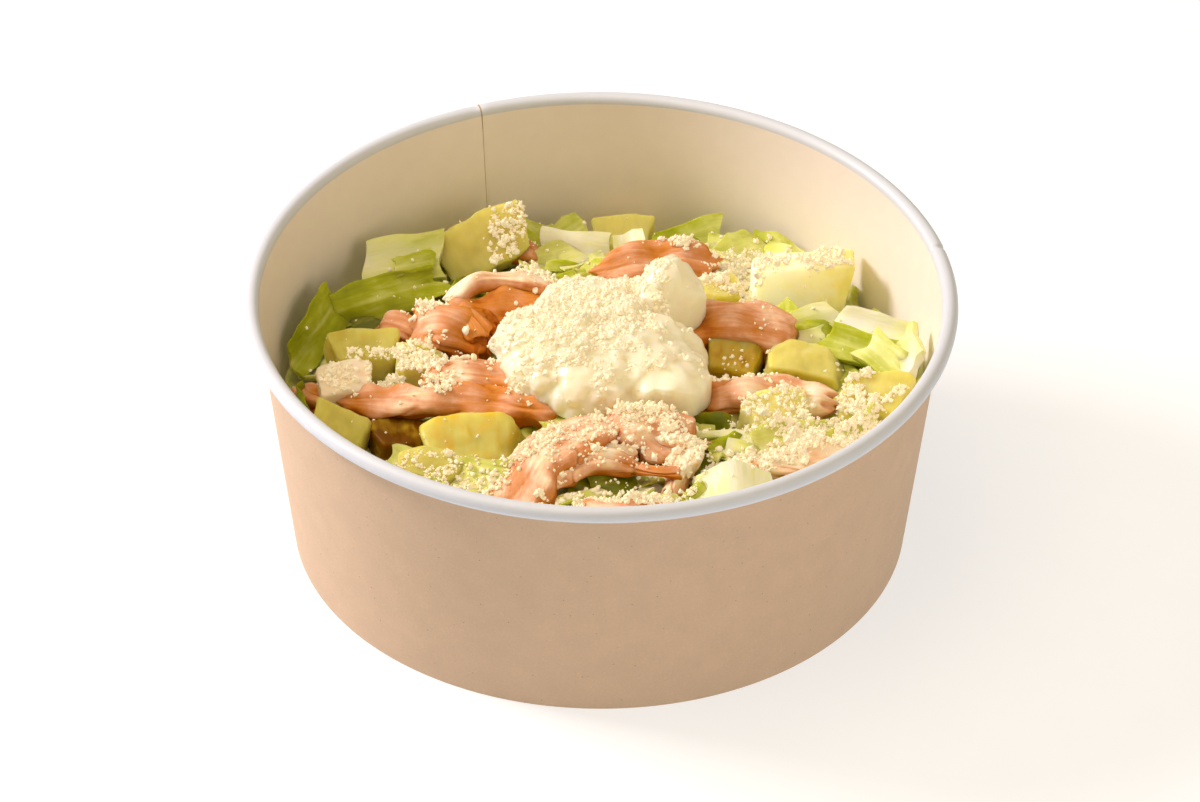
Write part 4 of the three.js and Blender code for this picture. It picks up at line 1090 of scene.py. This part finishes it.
def sauce_points():
    """A dome over a lobed outline: out is the share of the way to the outline, and the height falls
    with the root of one less out to a power. The lump and the lobe are joined on by a rounded maximum.
    The rest closes it below. Ripples move its upper points away from a place inside it."""
    rings, sides = SAUCE_GRID
    middle_x, middle_y, base = SAUCE["at"]
    down = np.pi * np.arange(1, rings + 1)[:, None] / (rings + 1)
    angle = 2 * np.pi * np.arange(sides) / sides - np.pi
    out = np.sin(down) ** (2 / SAUCE["flatness"]) * np.ones(sides)
    reach = sauce_outline(angle) * out
    x = SAUCE["half"][0] * reach * np.cos(angle) + middle_x
    y = SAUCE["half"][1] * reach * np.sin(angle) + middle_y
    inside = np.clip(1 - out ** SAUCE["flatness"], 0, 1)
    upper = soft_max(base + SAUCE["rise"] * inside ** 0.5, ball_height(x, y, SAUCE_LUMP))
    upper = np.maximum(soft_max(upper, ball_height(x, y, SAUCE_LOBE)), base)
    lower = base - SAUCE["below"] * inside ** (1 / SAUCE["flatness"])
    rings_at = np.stack([x, y, np.where(down < np.pi / 2, upper, lower)], -1).reshape(-1, 3)
    peak = soft_max(base + SAUCE["rise"], ball_height(middle_x, middle_y, SAUCE_LUMP))
    poles = [[middle_x, middle_y, peak], [middle_x, middle_y, base - SAUCE["below"]]]
    points = np.concatenate([rings_at, poles])
    away = points - (middle_x, middle_y, base + SAUCE["core"])
    away /= np.linalg.norm(away, axis=1, keepdims=True)
    rough = SAUCE_ROUGH["plain"] + SAUCE_ROUGH["crumbed"] * crumb_density(points[:, 0], points[:, 1])
    lumps = (rippled(points, SAUCE_RIPPLES)
             + rough * ripples(points, SAUCE_ROUGH["length"], SAUCE_ROUGH["seed"]))
    above = np.clip((points[:, 2] - base + 1) / 2, 0, 1)
    return points + away * (lumps * above)[:, None]


# Crumbs

def crumb_density(x, y):
    """Share of the places that get a crumb: the strongest patch there, softened and broken up."""
    broken = rippled(np.stack([x, y, 0 * x], -1), CRUMB_EDGE["ripples"])
    density = np.zeros_like(x)
    for at, half, turn, strength in CRUMB_PATCHES:
        left = CRUMB_EDGE["end"] - share_out(x, y, at, half, turn) + broken
        density = np.maximum(density, strength * np.clip(left / CRUMB_EDGE["width"], 0, 1))
    return density


def crumb_piece(name, settings, material, ground):
    """Small jittered balls dropped on what lies below, a little sunk in, each with sizes, turn and
    tint of its own."""
    form = CRUMB_FORM
    random = np.random.default_rng(settings["seed"])
    count = settings["candidates"]
    reach, angle = FOOD_REACH * np.sqrt(random.uniform(size=count)), random.uniform(0, 2 * np.pi, count)
    x, y = reach * np.cos(angle), reach * np.sin(angle)
    chosen = random.uniform(size=count) < crumb_density(x, y) ** settings["cluster"]
    points, normals = fall(ground, np.stack([x, y], -1)[chosen])
    held = (normals[:, 2] > form["upward"]) & (points[:, 2] < form["ceiling"])
    points, normals = points[held], normals[held]
    number = len(points)
    radius = random.uniform(*settings["radius"], number) * random.choice(form["sizes"], number)
    grid = sphere_grid(settings["rings"], settings["sides"])
    shape = grid * (1 + random.uniform(*form["jitter"], (number, len(grid), 1)))
    shape = shape * random.uniform(*form["stretch"], (number, 1, 3)) * radius[:, None, None]
    in_sauce = share_out(points[:, 0], points[:, 1], SAUCE["at"], SAUCE["half"], 0) < form["sauce_edge"]
    sunk = random.uniform(*form["sunk"], number) - form["sauce_lift"] * in_sauce
    centre = points + normals * (radius * sunk)[:, None]
    turn = random.uniform(0, 360, (number, 3))
    tint = random.beta(*form["tint"], number) * (1 - form["sauce_tint"] * in_sauce)
    faces = repeated(tube_faces(settings["rings"], settings["sides"]), number, len(grid))
    return make_piece(name, placed(shape, turn, centre), faces, [material], "crumbs",
                      tint=np.repeat(tint, len(grid)))


# Sizes and colours that a user may change

def length_property(name, description, default):
    """A length, in metres."""
    return bpy.props.FloatProperty(name=name, description=description, default=default, unit="LENGTH",
                                   subtype="DISTANCE", precision=4)


def color_property(name, description, default):
    """A colour of three parts from 0 to 1."""
    return bpy.props.FloatVectorProperty(name=name, description=description, default=default, size=3,
                                         subtype="COLOR", min=0, max=1)


class SaladBowlSizes(bpy.types.PropertyGroup):
    """Sizes of the paper bowl"""
    rim_radius: length_property("Rim radius", "From the axis to the outside of the rolled rim", 0.075)
    height: length_property("Height", "From the table to the top of the rolled rim", CAD_BOX[1][2])
    foot_radius: length_property("Foot radius", "From the axis to the outside of the foot", 0.065)


class SaladColors(bpy.types.PropertyGroup):
    """Colours of the paper and the food"""
    kraft: color_property("Kraft paper", "Outside of the bowl", (0.67, 0.48, 0.33))
    board: color_property("Inner board", "Inside of the bowl", (0.93, 0.855, 0.785))
    # The rim is a whiter, bluer board than the inner one, and much darker: painted shade on the rolled rim
    rim: color_property("Rim", "Rolled rim of the bowl", (0.67, 0.71, 0.80))
    cut_edge: color_property("Cut edge", "Edge of the board at the seam", (0.42, 0.30, 0.15))
    rib: color_property("Rib", "Whitest lettuce", (0.86, 0.85, 0.70))
    pale_green: color_property("Pale green", "Most of the lettuce", (0.74, 0.77, 0.27))
    bright_green: color_property("Bright green", "Thin lettuce", (0.42, 0.46, 0.015))
    # Dark green also paints shade, on leaves in holes and in shadow
    dark_green: color_property("Dark green", "Lettuce deep in the heap", (0.14, 0.16, 0.004))
    sauce: color_property("Sauce", "Cream sauce", (0.965, 0.885, 0.67))
    chicken_white: color_property("White chicken", "Palest cube of the chicken", (0.92, 0.77, 0.60))
    # Cream, pale pink, orange and deep chicken also paint light and shade: tops paler, undersides deeper
    chicken_cream: color_property("Cream chicken", "Torn edges of the chicken", (0.92, 0.66, 0.43))
    chicken_pale: color_property("Pale pink chicken", "Upper faces of the chicken", (0.81, 0.475, 0.31))
    chicken_pink: color_property("Pink chicken", "Most of the chicken", (0.69, 0.31, 0.145))
    chicken_orange: color_property("Orange chicken", "Lower faces of the chicken", (0.61, 0.225, 0.03))
    chicken_deep: color_property("Deep chicken", "Undersides of the chicken", (0.46, 0.125, 0.004))
    # Light pineapple also paints the tall chunk's lit face; olive, golden and amber paint shade on chunks
    # in shadow
    pineapple_light: color_property("Light pineapple", "Palest pineapple", (0.98, 0.92, 0.66))
    pineapple: color_property("Pineapple", "Most of the pineapple", (0.80, 0.71, 0.24))
    pineapple_olive: color_property("Olive pineapple", "Pineapple in the shade", (0.57, 0.51, 0.12))
    pineapple_golden: color_property("Golden pineapple", "Ripe pineapple in the shade", (0.60, 0.38, 0.025))
    pineapple_amber: color_property("Amber pineapple", "Darkest pineapple", (0.16, 0.06, 0.0004))
    crumb: color_property("Crumb", "Most of the grated crumbs", (0.95, 0.845, 0.62))
    crumb_deep: color_property("Deep crumb", "Darker grated crumbs", (0.94, 0.78, 0.38))


# Operators

class MakeBowl(bpy.types.Operator):
    """Make the paper bowl: its wall with the rolled rim, and its base"""
    bl_idname = "salad.make_bowl"
    bl_label = "Paper Bowl"

    def execute(self, context):
        look = context.scene.salad_colors
        kraft = kraft_material()
        board = board_material("inner_board", look.board)
        # The rim board's darker, bluer colour paints shade on the rim
        rim = board_material("rim_board", look.rim)
        bowl_wall(kraft, board, rim, board_material("cut_edge", look.cut_edge))
        bowl_base(kraft, board)
        return {"FINISHED"}


class MakeChicken(bpy.types.Operator):
    """Make the strips of chicken and the one cube"""
    bl_idname = "salad.make_chicken"
    bl_label = "Chicken"

    def execute(self, context):
        material = chicken_material()
        strips = [(name, name, *row) for name, row in CHICKEN.items()]
        strips += [(name, *row) for name, row in CHICKEN_EXTRA.items()]
        for seed, (name, node, *row) in enumerate(strips):
            points, grain, tone = strip_points(*row, seed)
            make_piece(name + "_food", points, tube_faces(*STRIP_GRID), [material], "chicken", [node],
                       grain=grain, tone=tone)
        # The cube's tone falls with height: painted light on its top
        for seed, (name, (at, size, turn, taper, (tone, rise))) in enumerate(CUBES.items()):
            local = chunk_points(size, taper, seed)
            make_piece(name + "_food", placed(local, turn, at), tube_faces(*CHUNK_GRID), [material],
                       "chicken", [name], grain=local, tone=tone + rise * local[:, 2])
        return {"FINISHED"}


class MakePineapple(bpy.types.Operator):
    """Make the chunks of pineapple"""
    bl_idname = "salad.make_pineapple"
    bl_label = "Pineapple"

    def execute(self, context):
        material = pineapple_material()
        for seed, (name, (at, size, turn, taper, tone)) in enumerate(PINEAPPLE.items()):
            local = chunk_points(size, taper, seed)
            shade = np.interp(local[:, 0], (-size[0] / 2, size[0] / 2), np.broadcast_to(tone, 2))
            make_piece(name + "_food", placed(local, turn, at), tube_faces(*CHUNK_GRID), [material],
                       "pineapple", [name], grain=local + (0, 0, CHUNK_SHIFT * seed), tone=shade)
        return {"FINISHED"}


class MakeSauce(bpy.types.Operator):
    """Make the dollop of cream sauce"""
    bl_idname = "salad.make_sauce"
    bl_label = "Sauce"

    def execute(self, context):
        make_piece("sauce_food", sauce_points(), tube_faces(*SAUCE_GRID), [sauce_material()], "sauce",
                   ["sauce"])
        return {"FINISHED"}


class MakeLettuce(bpy.types.Operator):
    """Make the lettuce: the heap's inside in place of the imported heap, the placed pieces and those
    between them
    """
    bl_idname = "salad.make_lettuce"
    bl_label = "Lettuce"

    def execute(self, context):
        material = lettuce_material("lettuce_leaf")
        heap_core(lettuce_material("lettuce_inside", dark=True))
        rows = [(*row, seed) for seed, row in enumerate(LETTUCE)]
        leaf_piece("lettuce_leaves", rows, LEAF_GRID, material)
        leaf_piece("lettuce_pieces", filler_rows(), FILLER_GRID, material)
        return {"FINISHED"}


class MakeCrumbs(bpy.types.Operator):
    """Drop the grated crumbs over the salad"""
    bl_idname = "salad.make_crumbs"
    bl_label = "Grated Crumbs"

    def execute(self, context):
        material = crumb_material()
        below = TOPPINGS + ["lettuce_leaves", "lettuce_pieces", "lettuce_core"]
        for name, settings in CRUMBS.items():
            crumb_piece(name, settings, material, ground_of(below))
            below.append(name)
        return {"FINISHED"}


class MakeStage(bpy.types.Operator):
    """Make the table, the lights and the camera"""
    bl_idname = "salad.make_stage"
    bl_label = "Table, Lights and Camera"

    def execute(self, context):
        make_floor()
        make_lights()
        make_camera()
        return {"FINISHED"}


def make_floor():
    """The table: a wide flat square at height zero."""
    mesh = bpy.data.meshes.new("table")
    corners = [(x * FLOOR_REACH, y * FLOOR_REACH, 0) for x, y in ((-1, -1), (1, -1), (1, 1), (-1, 1))]
    mesh.from_pydata(corners, [], [(0, 1, 2, 3)])
    mesh.materials.append(floor_material())
    floor = bpy.data.objects.new("table", mesh)
    bpy.context.scene.collection.objects.link(floor)



def make_lights():
    """Area lights that face the bowl's middle, and an even sky."""
    for name, row in LIGHTS.items():
        lift = math.radians(row["elevation"])
        flat = np.array(row["from"]) / np.hypot(*row["from"]) * math.cos(lift)
        away = np.array([*flat, math.sin(lift)])
        data = bpy.data.lights.new(name, "AREA")
        data.shape = "RECTANGLE"
        data.energy, data.color = row["power"], row["color"]
        data.size, data.size_y = row["size"]
        light = bpy.data.objects.new(name, data)
        light.matrix_world = looking(np.array(AIM) + away * row["distance"], away, 0)
        bpy.context.scene.collection.objects.link(light)
    world = bpy.data.worlds.new("sky")
    world.use_nodes = True
    background = world.node_tree.nodes["Background"]
    background.inputs["Color"].default_value = (*SKY["color"], 1)
    background.inputs["Strength"].default_value = SKY["strength"]
    bpy.context.scene.world = world
    bpy.context.scene.view_settings.view_transform = "Standard"


def looking(eye, back, roll):
    """A matrix for a light or camera at eye whose local Z points back, level but for the roll."""
    back = np.asarray(back, float) / np.linalg.norm(back)
    right = np.cross([0, 0, 1], back)
    right /= np.linalg.norm(right)
    right, up = rolled(right, np.cross(back, right), roll)
    matrix = np.eye(4)
    matrix[:3] = np.stack([right, up, back, eye], -1)
    return Matrix(matrix.tolist())


def make_camera():
    """The photo's view: from the front, high up, through a long lens."""
    lift = math.radians(ELEVATION)
    back = np.array([0, -math.cos(lift), math.sin(lift)])
    data = bpy.data.cameras.new("camera")
    data.lens, data.sensor_width, data.sensor_fit = LENS, SENSOR, "HORIZONTAL"
    data.clip_end = FAR_CLIP
    camera = bpy.data.objects.new("camera", data)
    camera.matrix_world = looking(np.array(AIM) + back * DISTANCE, back, ROLL)
    bpy.context.scene.collection.objects.link(camera)
    bpy.context.scene.camera = camera


OPERATORS = (MakeStage, MakeBowl, MakeChicken, MakePineapple, MakeSauce, MakeLettuce, MakeCrumbs)


class SaladPanel(bpy.types.Panel):
    """Buttons for the pieces of the salad, and its sizes and colours"""
    bl_idname = "VIEW3D_PT_salad"
    bl_label = "Chicken Salad Bowl"
    bl_space_type = "VIEW_3D"
    bl_region_type = "UI"
    bl_category = "Salad"

    def draw(self, context):
        for operator in OPERATORS:
            self.layout.operator(operator.bl_idname)
        for group in (context.scene.salad_bowl, context.scene.salad_colors):
            column = self.layout.column()
            for name in group.__annotations__:
                column.prop(group, name)


CLASSES = (SaladBowlSizes, SaladColors, *OPERATORS, SaladPanel)


def register():
    """Registers the classes, and gives the scene its sizes and colours."""
    for cls in CLASSES:
        bpy.utils.register_class(cls)
    bpy.types.Scene.salad_bowl = bpy.props.PointerProperty(type=SaladBowlSizes)
    bpy.types.Scene.salad_colors = bpy.props.PointerProperty(type=SaladColors)


def unregister():
    """Undoes what register does."""
    del bpy.types.Scene.salad_colors
    del bpy.types.Scene.salad_bowl
    for cls in reversed(CLASSES):
        bpy.utils.unregister_class(cls)


def main():
    """Makes every piece by its operator."""
    register()
    for operator in OPERATORS:
        group, name = operator.bl_idname.split(".")
        getattr(getattr(bpy.ops, group), name)()


if __name__ == "__main__":
    main()
